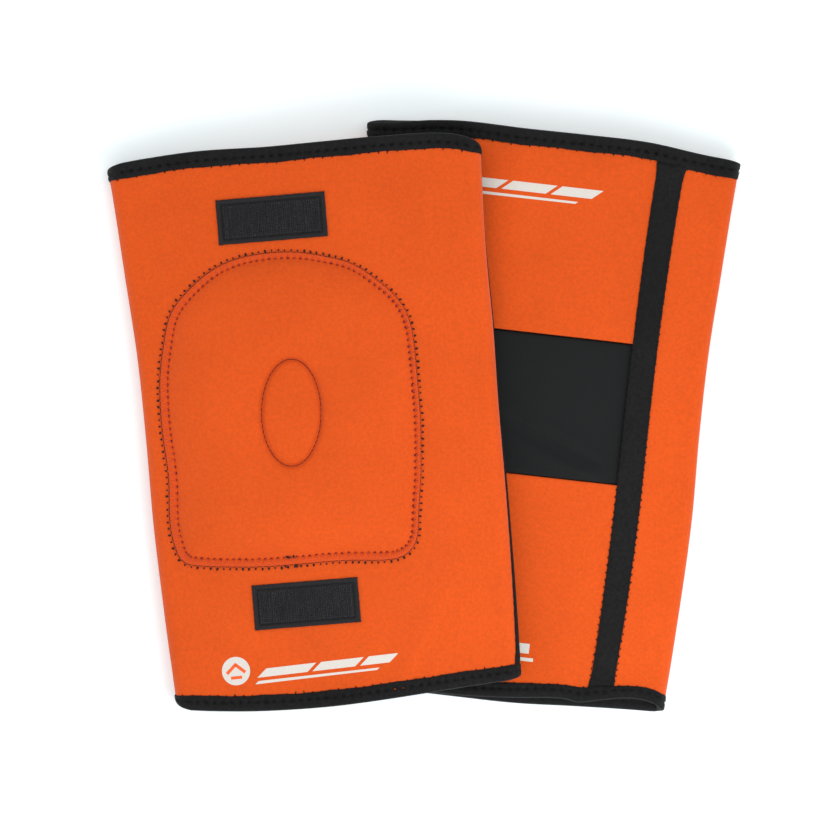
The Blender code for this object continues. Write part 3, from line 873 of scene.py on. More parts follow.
def add_tape_stitches(pad, name, seam, reach, thickness, looks):
    """A zigzag along each edge of the tape, its outer ends biting into the neoprene."""
    rng = np.random.default_rng(pad.seed + len(name))
    kept_in = pad.front_up and seam is right_seam
    bite = -0.5 * MM if kept_in else 0.5 * MM
    lines = []
    for edge in (-1, 1):
        turns = np.arange(-reach + 0.003, reach - 0.003, TAPE_PITCH / 2)
        out_turn = np.arange(len(turns)) % 2 == 1
        aside = np.where(out_turn, TAPE_WIDTH / 2 + bite, TAPE_WIDTH / 2 - 0.0021)
        aside = aside + rng.uniform(-0.2, 0.25, len(turns)) * MM
        turns = turns + rng.uniform(-0.2, 0.2, len(turns)) * MM
        t = np.linspace(0, 1, 7)
        across = aside[:-1, None] * (1 - t) + aside[1:, None] * t
        along = turns[:-1, None] * (1 - t) + turns[1:, None] * t
        on_tape = smooth((TAPE_WIDTH / 2 + 0.0002 - across) / 0.0005)
        face = tape_height(np.minimum(across, TAPE_WIDTH / 2), thickness)
        height = face * on_tape + HALF * (1 - on_tape)
        height = height + 0.16 * MM * np.sin(math.pi * t) ** 0.5 - 0.25 * MM * (t * (1 - t) < 0.01)
        share = seam(pad, along) + edge * across / half_girth(pad, along)
        lines.append((on_wall(pad, share, along, height), 0.13 * MM))
        if kept_in:
            continue
        nib = turns[out_turn]
        length = rng.uniform(0.0, 0.6, len(nib)) * MM
        t = np.linspace(0, 1, 4)
        across = (TAPE_WIDTH / 2 - 0.0002 + (0.0004 + length)[:, None] * t)
        share = seam(pad, nib[:, None]) + edge * across / half_girth(pad, nib[:, None])
        height = HALF + 0.28 * MM * (1 - t)
        lines.append((on_wall(pad, share, nib[:, None] + 0 * t, height), 0.23 * MM))
    piece = add_threads(pad, f"{name}_stitches", lines, looks["sunk_thread"])


def binding_height(from_mouth):
    """Height of the binding's face over the middle of the wall, by distance from the mouth."""
    padding = 0.85 + 0.55 * hump(from_mouth - 0.0030, 0.0018)
    padding = padding - 0.25 * hump(from_mouth - BINDING_PIT, 0.0008)
    padding = padding + 0.30 * hump(from_mouth - 0.0079, 0.0013)
    padding = padding - 0.50 * smooth((from_mouth - 0.0089) / 0.0011)
    return HALF + GAP + MM * padding


def joint_bulge(pad, share, along):
    """Where the binding's two ends lap over each other at the left seam, and cross the right."""
    signed = np.where(share > 1, share - 2, share)
    past = (signed - left_seam(pad, along)) * half_girth(pad, along)
    slant = 0.35 * (PAD_LENGTH / 2 - np.abs(along) - 0.005)
    lap = smooth((past + 0.0095 + slant) / 0.0006) * smooth((0.0072 - past) / 0.0030)
    past = (signed - right_seam(pad, along)) * half_girth(pad, along)
    crossing = smooth((past + 0.0095) / 0.0030) * smooth((0.0095 - past) / 0.0030)
    return 0.60 * MM * lap + 0.45 * MM * crossing


def pinched(share):
    """1 where the fold presses the binding flat, 0 elsewhere."""
    return smooth((toward_fold(share) - 0.945) / 0.03)


def binding_turns(pad):
    """Distances round the mouth of the stitches, from the middle of the back, and the whole."""
    whole = 2 * half_girth(pad, 0)
    count = round(whole / BINDING_PITCH)
    return np.arange(count) * whole / count, whole


def binding_extra(pad, share, end):
    """How much wider the strip is laid beyond the left seam at the lower pad's thigh end."""
    if pad.front_up or end < 0:
        return 0.0
    past = (share - left_seam(pad, end)) * half_girth(pad, end)
    return 1.4 * MM * smooth((past - 0.006) / 0.004) * smooth((-0.47 - share) / 0.03)


def add_binding(pad, name, end, looks):
    """The strip folded over the raw edge of one mouth, dented where each stitch bites."""
    turns, whole = binding_turns(pad)
    pitch = whole / len(turns)
    offsets = np.array([-1.1, -0.6, -0.3, 0.0, 0.3, 0.6, 1.1, 1.8, 2.6, 3.4]) * MM
    round_it = (turns[:, None] + offsets).ravel()
    nose = np.linspace(math.pi / 2, -math.pi / 2, 11)
    face = MM * np.array([10.0, 9.7, 9.2, 8.6, 8.0, 7.2, 6.5, 6.1, 5.8, 5.6, 5.4, 5.1, 4.6, 3.8,
                          3.0, 2.2])
    bend = 0.0014
    edge = binding_height(bend)
    back_off = np.concatenate([face, bend * (1 - np.cos(nose)), face[::-1]])
    out = np.concatenate([binding_height(face), edge * np.sin(nose), -binding_height(face[::-1])])
    pocket = np.array([BINDING_WIDTH, BINDING + GAP, BINDING + GAP, BINDING_WIDTH])
    under = (HALF + GAP / 2) * np.array([-1, -1, 1, 1])
    back_off, out = np.concatenate([back_off, pocket]), np.concatenate([out, under])
    round_it, back_off = np.meshgrid(round_it, back_off, indexing="ij")
    out = np.broadcast_to(out, round_it.shape)
    share = round_it / whole * 2 - 1
    share = np.where(share < -1, share + 2, share)
    along = end - math.copysign(1, end) * back_off
    to_pit = (round_it + pitch / 2) % pitch - pitch / 2
    dent = 0.80 * MM * hump(np.hypot(to_pit * 0.62, back_off - BINDING_PIT), 0.00085)
    pucker = 0.10 * MM * np.cos(2 * math.pi * to_pit / pitch) * smooth(back_off / 0.004)
    outside = np.arange(out.shape[1]) < len(face) + len(nose) / 2
    change = np.where(outside, joint_bulge(pad, share, along) - dent - pucker, 0.0)
    thickness = np.maximum(np.abs(out) - HALF - GAP, 0.0)
    change = change - PINCH * pinched(share) * np.copysign(thickness, out)
    waver = 0.22 * MM * np.sin(share * math.pi * 11 + pad.seed) + 0.1 * MM * np.sin(share * 97)
    waver = waver + binding_extra(pad, share, end)
    along = along - math.copysign(1, end) * waver * (back_off > 0.0085)
    points = on_wall(pad, share, along, out + change)
    rows, columns = share.shape
    lengthways = grid_faces(rows, columns, 0, around=True)
    last = (rows - 1) * columns + np.arange(columns)
    first = np.arange(columns)
    closing = np.stack([last, np.roll(last, -1), np.roll(first, -1), first], axis=1)
    cloth = np.stack([share * whole / 2, along + np.abs(out)], axis=-1).reshape(-1, 2)
    piece = add_piece(pad, f"{name}_cloth", points, np.concatenate([lengthways, closing]).tolist(),
                      [looks["binding"]], cloth)
    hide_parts(f"{pad.name}_{name}")
    add_binding_stitches(pad, name, end, looks)


def add_binding_stitches(pad, name, end, looks):
    """The zigzag that holds the binding: each outer turn bites into the neoprene beyond it."""
    turns, whole = binding_turns(pad)
    pitch = whole / len(turns)
    sign = math.copysign(1, end)
    rng = np.random.default_rng(pad.seed + (1 if end > 0 else 2))
    nib = rng.uniform(-0.25, 0.45, len(turns)) * MM + BINDING_NIB
    nib = nib + binding_extra(pad, (turns + pitch / 2) / whole * 2 - 1, end)
    at = np.stack([turns, turns + pitch / 2], axis=1).ravel()
    back_off = np.stack([np.full(len(turns), BINDING_PIT), nib], axis=1).ravel()
    t = np.linspace(0, 1, 9)
    round_it = at[:, None] + pitch / 2 * t
    off = back_off[:, None] * (1 - t) + np.roll(back_off, -1)[:, None] * t
    share = round_it / whole * 2 - 1
    along = end - sign * off
    on_strip = smooth((BINDING_WIDTH + 0.0001 - off) / 0.0005)
    height = binding_height(np.minimum(off, BINDING_WIDTH)) * on_strip
    height = height + (HALF + 0.05 * MM) * (1 - on_strip) + joint_bulge(pad, share, along)
    height = height + 0.14 * MM * np.sin(math.pi * t) ** 0.5 - 0.60 * MM * (t * (1 - t) < 0.001)
    height = height - PINCH * pinched(share) * np.maximum(height - HALF - GAP, 0)
    lines = [(on_wall(pad, share, along, height), 0.12 * MM)]
    length = rng.uniform(0.0, 1.0, len(turns)) ** 2 * 1.1 * MM
    free = pinched((turns + pitch / 2) / whole * 2 - 1) < 0.5
    turns, length = turns[free], length[free]
    t = np.linspace(0, 1, 4)
    first = BINDING_WIDTH - 0.0004 + binding_extra(pad, (turns + pitch / 2) / whole * 2 - 1, end)
    off = np.broadcast_to(first, turns.shape)[:, None] + (0.0006 + length)[:, None] * t
    lean = rng.uniform(-0.4, 0.4, len(turns)) * MM
    share = (turns + pitch / 2)[:, None] / whole * 2 - 1 + lean[:, None] * t / whole * 2
    height = HALF + (0.42 - 0.30 * t) * MM
    lines.append((on_wall(pad, share, end - sign * off, height), 0.28 * MM))
    piece = add_threads(pad, f"{name}_stitches", lines, looks["sunk_thread"])


# The knee cushion


def evenly(points, count):
    """A closed line again, with that many points spread evenly along it."""
    closed = np.concatenate([points, points[:1]])
    steps = np.linalg.norm(np.diff(closed, axis=0), axis=1)
    travelled = np.concatenate([[0], np.cumsum(steps)])
    at = np.arange(count) / count * travelled[-1]
    return np.stack([np.interp(at, travelled, closed[:, k]) for k in range(2)], axis=1)


def evened_out(rows, reach):
    """Rows of values, each running round in a ring, evened out over a reach to both sides."""
    window = np.hanning(2 * reach + 3)[1:-1]
    window /= window.sum()
    wrapped = np.concatenate([rows[:, -reach:], rows, rows[:, :reach]], axis=1)
    return np.array([np.convolve(row, window, "valid") for row in wrapped])


def cushion_outline(count):
    """The tombstone outline about the cushion's own middle, and its outward directions."""
    angle = np.linspace(0, math.pi, 241)
    across = np.abs(np.cos(angle)) ** (2 / ARCH_POWER)
    up = np.abs(np.sin(angle)) ** (2 / ARCH_POWER)
    arch = np.stack([np.copysign(CUSHION_HALF_WIDTH * across, np.cos(angle)),
                     CUSHION_WIDEST + (CUSHION_TOP - CUSHION_WIDEST) * up], axis=1)
    turn = np.linspace(0, math.pi / 2, 13)
    foot = np.stack([CUSHION_FOOT_HALF_WIDTH - CUSHION_CORNER + CUSHION_CORNER * np.cos(turn),
                     CUSHION_BOTTOM + CUSHION_CORNER - CUSHION_CORNER * np.sin(turn)], axis=1)
    halfway = [[(CUSHION_HALF_WIDTH + CUSHION_FOOT_HALF_WIDTH) / 2 + 0.001, -0.050]]
    right = np.concatenate([foot[::-1], halfway])
    left = right[::-1] * (-1, 1)
    line = evenly(np.concatenate([arch, left, right]), count)
    line[:, 0] += CUSHION_LEAN * line[:, 1]
    outward = outward_along(line)
    for x, y, reach, amount in STRAYS:
        nearness = hump(np.hypot(line[:, 0] - x, line[:, 1] - y), reach)
        line = line + amount * nearness[:, None] * outward
    line = evenly(evened_out(line.T, round(count * 0.012)).T, count)
    return line, outward_along(line)


def outward_along(line):
    """The outward direction at each point of a closed line that runs counterclockwise."""
    ahead = np.roll(line, -1, axis=0) - np.roll(line, 1, axis=0)
    ahead /= np.linalg.norm(ahead, axis=1, keepdims=True)
    return np.stack([ahead[:, 1], -ahead[:, 0]], axis=1)


def inner_row(outward):
    """How far inside the edge the inner stitches run: further in at the left and the foot."""
    return (4.2 - 0.9 * outward[..., 0] - 0.5 * outward[..., 1]) * MM


def quilt_distance(x, y):
    """Signed distance from the quilting oval, roughly, for places about the pad's middle."""
    a, b = turned(x - QUILT_CENTRE[0], y - QUILT_CENTRE[1], QUILT_LEAN)
    q = np.hypot(a / QUILT_HALF_SIZE[0], b / QUILT_HALF_SIZE[1])
    steepness = np.hypot(a / QUILT_HALF_SIZE[0] ** 2, b / QUILT_HALF_SIZE[1] ** 2)
    return (q - 1) * q / np.maximum(steepness, 1.0)


def quilt_line(count):
    """The quilting oval, about the pad's middle, counterclockwise from its right side."""
    angle = np.arange(count) * 2 * math.pi / count
    a, b = QUILT_HALF_SIZE[0] * np.cos(angle), QUILT_HALF_SIZE[1] * np.sin(angle)
    return np.stack(turned(a, b, -QUILT_LEAN), axis=1) + QUILT_CENTRE


def dome(inside, row):
    """Height of the cover's face over the front panel, inside being the distance in from its edge."""
    flange = 1.3 + 0.55 * np.sin(math.pi * np.clip(inside / row, 0, 1)) ** 0.8
    past = np.clip((inside - row) / 0.028, 0, 1)
    return MM * flange + (CUSHION_RISE - 1.3 * MM) * (1 - (1 - past) ** 3.6)


def quilting(x, y):
    """How much the quilting draws the cover down."""
    away = quilt_distance(x, y)
    return MM * (1.3 * hump(away, 0.0011) + 0.8 * hump(away, 0.0045))


class Cushion:
    """The cushion's rings, from its edge to its middle, and the cover's heights on them."""

    def __init__(self):
        line, outward = cushion_outline(1008)
        self.count = len(line)
        self.stitches = round(self.length(line) / CUSHION_PITCH)
        self.line, self.outward = line, outward
        self.row = inner_row(outward)
        middle = np.array([CUSHION_X, CUSHION_Y])
        oval = quilt_line(self.count)
        shares = np.array([0.09, 0.12, 0.18, 0.28, 0.42, 0.56, 0.70, 0.80, 0.88, 0.94, 1.0,
                           1.06, 1.14, 1.24])
        rings = [line + middle - outward * (self.row * s)[:, None] for s in shares]
        for past in (2.4, 3.6, 5.0):
            rings.append(line + middle - outward * (self.row + past * MM)[:, None])
        start = rings[-1]
        for s in (0.06, 0.13, 0.21, 0.30, 0.40, 0.50, 0.60, 0.69, 0.77, 0.84, 0.895, 0.93, 0.955,
                  0.972, 0.985, 0.994, 1.0):
            rings.append(start + (oval - start) * s)
        centre = np.array(QUILT_CENTRE)
        for s in (0.98, 0.955, 0.925, 0.88, 0.81, 0.7, 0.55, 0.38, 0.2, 0.08):
            rings.append(centre + (oval - centre) * s)
        self.rings = np.array(rings)
        self.inside, nearest = self.distance_in(self.rings.reshape(-1, 2) - middle)
        self.inside[: len(shares)] = shares[:, None] * self.row
        self.nearest_row = self.row[nearest]
        self.nearest_row[: len(shares)] = self.row
        # Evened out along each ring, so that no ridge runs in from a corner
        for values in (self.inside, self.nearest_row):
            values[len(shares) + 3:] = evened_out(values[len(shares) + 3:], 45)
        self.rim = line + middle
        self.seam_ring = 10
        self.oval_ring = len(shares) + 19
        self.swell = self.inflated()

    @staticmethod
    def length(line):
        return float(np.linalg.norm(np.roll(line, -1, axis=0) - line, axis=1).sum())

    def distance_in(self, points):
        """Each point's distance from the outline and the number of the outline's nearest point."""
        inside, nearest = [], []
        for some in np.array_split(points, 60):
            apart = np.linalg.norm(some[:, None] - self.line[None], axis=2)
            nearest.append(apart.argmin(1))
            inside.append(apart.min(1))
        shape = (len(self.rings), self.count)
        return np.concatenate(inside).reshape(shape), np.concatenate(nearest).reshape(shape)

    def inflated(self):
        """How far the foam's pressure lifts the cover between its seam and the quilting."""
        every = 8
        places = self.rings[self.seam_ring:, ::every]
        height = 0.9 * dome(self.inside, self.nearest_row)[self.seam_ring:, ::every]
        rows, columns = height.shape
        points = np.concatenate([places, height[..., None]], axis=2).reshape(-1, 3)
        faces = grid_faces(rows, columns, 0, around=True).tolist()
        faces.append(list(range((rows - 1) * columns, rows * columns)))
        mesh = bpy.data.meshes.new("inflating")
        mesh.from_pydata((points * 10).tolist(), [], faces)
        cover = bpy.data.objects.new("inflating", mesh)
        bpy.context.scene.collection.objects.link(cover)
        oval = (self.oval_ring - self.seam_ring) * columns
        pins = cover.vertex_groups.new(name="sewn")
        pins.add([*range(columns), *range(oval, oval + columns)], 1.0, "REPLACE")
        cloth = cover.modifiers.new("cloth", "CLOTH")
        cloth.settings.vertex_group_mass = "sewn"
        cloth.settings.quality = 6
        cloth.settings.use_pressure = True
        cloth.settings.uniform_pressure_force = 4.0
        cloth.settings.effector_weights.gravity = 0.0
        cloth.point_cache.frame_start, cloth.point_cache.frame_end = 1, 20
        scene = bpy.context.scene
        for at in range(1, 21):
            scene.frame_set(at)
        moved = cover.evaluated_get(bpy.context.evaluated_depsgraph_get())
        found = np.empty(len(points) * 3)
        moved.data.vertices.foreach_get("co", found)
        bpy.data.objects.remove(cover)
        scene.frame_set(1)
        lift = found.reshape(-1, 3)[:, 2].reshape(rows, columns) / 10 - height
        lift = np.clip(lift, -LIFT_CAP, LIFT_CAP)
        lift = np.concatenate([lift, lift[:, :1]], axis=1)
        at = np.arange(self.count) / every
        fine = np.array([np.interp(at, np.arange(columns + 1), row) for row in lift])
        return np.concatenate([np.zeros((self.seam_ring, self.count)), fine])

    def heights(self):
        """The cover's face over the front panel, with each inner stitch's dent."""
        x, y = self.rings[..., 0], self.rings[..., 1]
        height = dome(self.inside, self.nearest_row) + self.swell
        height = np.minimum(height, height * CUSHION_RISE / height.max()) - quilting(x, y)
        round_it = np.arange(self.count) / self.count * self.stitches
        to_stitch = (round_it + 0.5) % 1 - 0.5
        reach = (1.3 + 0.5 * self.outward[:, 0]) * MM
        pull = hump(to_stitch * CUSHION_PITCH, 0.0012) * hump(self.inside - self.row, reach)
        return height - 0.85 * MM * pull

    def stitch_places(self, half_turn=0.0):
        """The outline's points, outward directions and row distances at the stitches."""
        at = (np.arange(self.stitches) + half_turn) / self.stitches * self.count
        before = np.floor(at).astype(int) % self.count
        share = (at % 1)[:, None]
        after = (before + 1) % self.count
        line = self.line[before] * (1 - share) + self.line[after] * share
        outward = self.outward[before]
        return line + (CUSHION_X, CUSHION_Y), outward, inner_row(outward)


def ringed_faces(count, top_rings, low_rings):
    """Faces of a closed body: rings of its face from edge to middle, then rings underneath."""
    top = grid_faces(top_rings, count, 0, around=True)
    first_low = top_rings * count
    low = grid_faces(low_rings, count, first_low, around=True)
    k = np.arange(count)
    after = (k + 1) % count
    edge = np.stack([k, after, first_low + after, first_low + k], axis=1)
    faces = np.concatenate([top, low, edge]).tolist()
    faces.append((first_low - count + k).tolist())
    faces.append((first_low + (low_rings - 1) * count + k).tolist()[::-1])
    materials = [0] * (len(top) + len(low)) + [1] * len(edge) + [0, 0]
    return faces, materials


def add_cushion(pad, looks, cushion):
    """The sewn cover, hollow below, and the foam slab that fills it."""
    x, y = cushion.rings[..., 0], cushion.rings[..., 1]
    height = cushion.heights()
    top = on_front(pad, x, y, height)
    below = [0, 8, 12, 16, 18, 20, 22, 24, 27, 30, 33, len(cushion.rings) - 1]
    under = cushion.rings[below]
    under[0] = cushion.rim
    shell = np.maximum(height[below] - 2.9 * MM, GAP / 2)
    shell[:2] = GAP / 2
    bottom = on_front(pad, under[..., 0], under[..., 1], shell)
    faces, face_materials = ringed_faces(cushion.count, len(cushion.rings), len(below))
    places = np.concatenate([cushion.rings, under]).reshape(-1, 2)
    points = np.concatenate([top.reshape(-1, 3), bottom.reshape(-1, 3)])
    cover = add_piece(pad, "cushion_cover_cloth", points, faces, [looks["orange"], looks["core"]],
                      places, face_materials)
    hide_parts(f"{pad.name}_cushion_cover")
    chosen = [18, 19, 20, 21, 22, 23, 24, 26, 28, 30, 33, len(cushion.rings) - 1]
    slab = np.maximum(height[chosen] - 3.3 * MM, GAP)
    slab[0] = GAP * 1.5
    top = on_front(pad, x[chosen], y[chosen], slab)
    flat = on_front(pad, x[[18, -1]], y[[18, -1]], GAP / 2)
    faces, _ = ringed_faces(cushion.count, len(chosen), 2)
    places = np.concatenate([cushion.rings[chosen], cushion.rings[[18, -1]]]).reshape(-1, 2)
    foam = add_piece(pad, "cushion_foam_slab",
                     np.concatenate([top.reshape(-1, 3), flat.reshape(-1, 3)]), faces,
                     [looks["foam"]], places)
    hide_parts(f"{pad.name}_cushion_foam")


def add_cushion_stitches(pad, looks, cushion):
    """The zigzag round the cover: an orange thread between knots outside and inside its edge."""
    rng = np.random.default_rng(pad.seed)
    outer_line, outer_way, _ = cushion.stitch_places(0.5)
    inner_line, inner_way, row = cushion.stitch_places(0.0)
    outer = outer_line - outer_way * OUTER_ROW
    outer = outer + rng.normal(0, 0.12 * MM, outer.shape)
    inner = inner_line - inner_way * row[:, None]
    inner = inner + rng.normal(0, 0.10 * MM, inner.shape)
    t = np.linspace(0, 1, 11)
    zigzag = []
    for first, last, step in ((inner, outer, 0), (outer, inner, -1)):
        last = np.roll(last, step, axis=0)
        place = first[:, None] * (1 - t)[:, None] + last[:, None] * t[:, None]
        inward = t if step == -1 else 1 - t
        inside = OUTER_ROW + (row[:, None] - OUTER_ROW) * inward
        on_cover = smooth((inside + 0.0003) / 0.0005)
        height = dome(np.maximum(inside, 0), row[:, None]) * on_cover + 0.1 * MM
        height = height - 0.3 * MM * (t * (1 - t) < 0.001)
        zigzag.append((on_front(pad, place[..., 0], place[..., 1], height), 0.15 * MM))
    add_threads(pad, "cushion_zigzag", zigzag, looks["orange_thread"])
    low = dome(row, row) - 0.62 * MM
    add_knots(pad, "cushion_outer_knots", outer, outer_way, np.full(len(outer), 0.12 * MM),
              0.58, np.full(len(outer), 0.80), rng, looks["dark_thread"])
    # The inner knots reach further on the cushion's right side: real thread, drawn there as wider
    # dark red bars that also stand for painted shade of the groove on that side.
    add_knots(pad, "cushion_inner_knots", inner, inner_way, low, 0.56,
              0.70 + 0.75 * np.maximum(0.0, inner_way[:, 0]) ** 2, rng, looks["red_thread"])
    tack = np.array(BACK_TACK)
    way = np.array([(0.8, -0.6), (-0.6, -0.8), (0.3, -0.95), (0.9, -0.2)])
    add_knots(pad, "cushion_back_tack", tack, way, np.full(len(tack), 1.5 * MM), 0.75,
              np.full(len(tack), 1.2), rng, looks["dark_thread"])


def add_knots(pad, name, places, ways, height, radius, reach, rng, material):
    """Short bits of thread lying across the row, each turned and sized a little differently."""
    turn = rng.normal(0, 0.35, len(places))
    way = np.stack(turned(ways[:, 0], ways[:, 1], turn), axis=1)
    size = rng.uniform(0.7, 1.25, len(places))
    t = np.linspace(-1, 1, 5)
    forth = t[None] * (reach * size * MM)[:, None]
    spot = places[:, None] + way[:, None] * forth[..., None]
    arch = height[:, None] + 0.18 * MM * (1 - t ** 2)
    thick = radius * MM * size[:, None] * (1 - 0.55 * t ** 2)
    add_threads(pad, name, [(on_front(pad, spot[..., 0], spot[..., 1], arch), thick)], material)


def add_quilting(pad, looks):
    """The lock stitch that draws the oval down into the foam."""
    length = Cushion.length(quilt_line(400))
    stitches = round(length / QUILT_PITCH)
    fine = quilt_line(stitches * 8)
    line = np.concatenate([fine, fine[:1]])
    t = np.arange(7)
    chosen = (np.arange(stitches)[:, None] * 8 + t + 1) % len(line)
    place = line[chosen]
    height = CUSHION_RISE - quilting(place[..., 0], place[..., 1])
    height = height + 0.12 * MM - 0.22 * MM * np.abs(t / 3 - 1) ** 3
    lines = on_front(pad, place[..., 0], place[..., 1], height)
    add_threads(pad, "cushion_quilting", [(lines, 0.25 * MM)], looks["dark_thread"])


# Hook patches


def add_hook_patch(pad, name, patch, looks):
    """A band of hook tape: a woven ground with a plain border, its seam and its hooks."""
    width = patch[2]
    a = with_edges(-width / 2, width / 2, 0.0007, 0.0003)
    b = with_edges(-HOOK_HEIGHT / 2, HOOK_HEIGHT / 2, 0.0007, 0.0003)
    up, across = np.meshgrid(b, a, indexing="ij")
    to_seam = np.minimum(width / 2 - np.abs(across), HOOK_HEIGHT / 2 - np.abs(up)) - HOOK_SEAM
    height = GAP + 0.95 * MM - 0.70 * MM * hump(to_seam, 0.0008)
    height = height - 0.10 * MM * (to_seam < -HOOK_SEAM + 0.0004)
    height[[0, -1], :] -= 0.3 * MM
    height[:, [0, -1]] -= 0.3 * MM
    rng = np.random.default_rng(pad.seed + len(name))
    ragged = rng.normal(0, 0.07 * MM, (2, *up.shape)) * (np.abs(to_seam + HOOK_SEAM) < 0.0002)
    x, up_leg = on_patch(patch, across + ragged[0], up + ragged[1])
    top = on_front(pad, x, up_leg, height)
    bottom = on_front(pad, x, up_leg, 0.05 * MM)
    faces, _ = sheet_faces(*x.shape)
    cloth = np.stack([across, up], axis=-1).reshape(-1, 2)
    ground = add_piece(pad, f"{name}_ground", np.stack([top, bottom]), faces, [looks["ground"]],
                       np.concatenate([cloth, cloth]))
    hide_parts(f"{pad.name}_{name}")
    add_hooks(pad, name, patch, rng, looks)
    add_patch_seam(pad, name, patch, rng, looks)


def add_hooks(pad, name, patch, rng, looks):
    """Rows of bent filaments, neighbours in a row bending opposite ways."""
    reach_a, reach_b = patch[2] / 2 - 0.0044, HOOK_HEIGHT / 2 - 0.0044
    a, b = np.meshgrid(np.arange(-reach_a, reach_a, 0.00108), np.arange(-reach_b, reach_b, 0.00112))
    column = np.arange(a.size) % a.shape[1]
    bends = np.where(column % 2 == 0, 1.0, -1.0)
    a = a.ravel() + rng.normal(0, 0.06 * MM, a.size) + rng.normal(0, 0.15 * MM, a.shape[1])[column]
    b = b.ravel() + rng.normal(0, 0.12 * MM, b.size)
    forth = np.array([0.0, 0.0, 0.06, 0.26, 0.46, 0.54, 0.50]) * MM
    high = np.array([0.85, 1.45, 1.72, 1.86, 1.72, 1.48, 1.28]) * MM
    size = rng.uniform(0.75, 1.12, a.size) * rng.uniform(0.85, 1.05, column.max() + 1)[column]
    spot_b = b[:, None] + bends[:, None] * (forth - 0.25 * MM) * size[:, None]
    sway = rng.normal(0, 0.14 * MM, a.size)[:, None] * (high / high.max()) ** 2
    spot_a, spot_b = on_patch(patch, a[:, None] + sway, spot_b)
    lines = on_front(pad, spot_a, spot_b, GAP + (high - 0.85 * MM) * size[:, None] + 0.85 * MM)
    points, faces = tubes(lines, 0.15 * MM, sides=4)
    piece = add_piece(pad, f"{name}_hooks", points, faces, [looks["hooks"]], sharp=180)


def add_patch_seam(pad, name, patch, rng, looks):
    """The lock stitch round the patch, just inside its border."""
    half_a, half_b = patch[2] / 2 - HOOK_SEAM, HOOK_HEIGHT / 2 - HOOK_SEAM
    corners = np.array([[-half_a, -half_b], [half_a, -half_b], [half_a, half_b], [-half_a, half_b]])
    stitches = round(4 * (half_a + half_b) / 0.0033)
    line = evenly(corners, stitches * 6)
    t = np.arange(5)
    chosen = (np.arange(stitches)[:, None] * 6 + t + 1) % len(line)
    place = line[chosen] + rng.normal(0, 0.08 * MM, (stitches, 1, 2))
    height = GAP + (0.66 - 0.25 * np.abs(t / 2 - 1) ** 3) * MM
    lines = on_front(pad, *on_patch(patch, place[..., 0], place[..., 1]), height)
    piece = add_threads(pad, f"{name}_stitches", [(lines, 0.24 * MM)], looks["sunk_thread"])


# Printed marks: a gable in a disc and plain bars


def add_print(pad, name, place_on, patches, material, top=0.10 * MM):
    """Thin ink over the cloth, one closed sheet over each grid of places."""
    points, faces, cloth = [], [], []
    total = 0
    for grid in patches:
        rows, columns, _ = grid.shape
        upper = place_on(pad, grid[..., 0], grid[..., 1], top)
        lower = place_on(pad, grid[..., 0], grid[..., 1], -0.05 * MM)
        points += [upper.reshape(-1, 3), lower.reshape(-1, 3)]
        cloth += [grid.reshape(-1, 2)] * 2
        quads, _ = sheet_faces(rows, columns)
        faces += [[k + total for k in face] for face in quads]
        total += 2 * rows * columns
    add_piece(pad, name, np.concatenate(points), faces, [material], np.concatenate(cloth))


def bar(start, end, width, slant=0.0, taper=0.0):
    """A grid of places over a straight bar, with slanted ends and a taper toward its end."""
    start, end = np.array(start, float), np.array(end, float)
    ahead = (end - start) / np.linalg.norm(end - start)
    aside = np.array([-ahead[1], ahead[0]])
    long_steps = max(4, round(np.linalg.norm(end - start) / 0.0015))
    t, w = np.meshgrid(np.linspace(0, 1, long_steps), np.linspace(-0.5, 0.5, 4), indexing="ij")
    wide = width * (1 - taper * t)
    along = t * np.linalg.norm(end - start) + slant * w * wide
    return start + along[..., None] * ahead + (w * wide)[..., None] * aside


def disc(centre, radius):
    """A grid of places over a round spot."""
    a, b = np.meshgrid(np.linspace(-1, 1, 21), np.linspace(-1, 1, 21), indexing="ij")
    x = a * np.sqrt(1 - b * b / 2)
    y = b * np.sqrt(1 - a * a / 2)
    return np.array(centre) + radius * np.stack([x, y], axis=-1)


def add_marks(pad, looks):
    """The white marks below the calf hook patch and on the back panels."""
    white, orange = looks["white_ink"], looks["orange_ink"]
    spot = np.array([-0.0660, -0.1435])
    add_print(pad, "front_disc_print", on_front, [disc(spot, 0.0086)], white)
    roof = [bar(spot + (-0.0056, -0.0012), spot + (0.0004, 0.0042), 0.0019),
            bar(spot + (0.0056, -0.0012), spot + (-0.0004, 0.0042), 0.0019),
            bar(spot + (-0.0034, -0.0040), spot + (0.0034, -0.0040), 0.0018)]
    add_print(pad, "front_gable_print", on_front, roof, orange, 0.16 * MM)
    bars = [bar((-0.0505, -0.1462), (-0.0200, -0.1456), 0.0050, 1.2),
            bar((-0.0170, -0.1455), (0.0090, -0.1450), 0.0050, 1.2),
            bar((0.0120, -0.1449), (0.0300, -0.1446), 0.0050, 1.2),
            bar((-0.0540, -0.1517), (0.0200, -0.1503), 0.0018, 1.2, 0.3)]
    add_print(pad, "front_bar_print", on_front, bars, white)
    bars = [bar((-0.0600, 0.1380), (-0.0280, 0.1380), 0.0056, 1.2),
            bar((-0.0250, 0.1380), (0.0020, 0.1380), 0.0056, 1.2),
            bar((0.0050, 0.1380), (0.0300, 0.1380), 0.0056, 1.2),
            bar((-0.0640, 0.1318), (0.0180, 0.1318), 0.0019, 1.2, 0.3)]
    add_print(pad, "back_bar_print", on_back, bars, white)
    bars = [bar((-0.0160, -0.1395), (0.0200, -0.1395), 0.0060, 0.0),
            bar((-0.0160, -0.1462), (0.0230, -0.1462), 0.0022, 0.0)]
    add_print(pad, "back_lower_print", on_back, bars, white)


# Stage


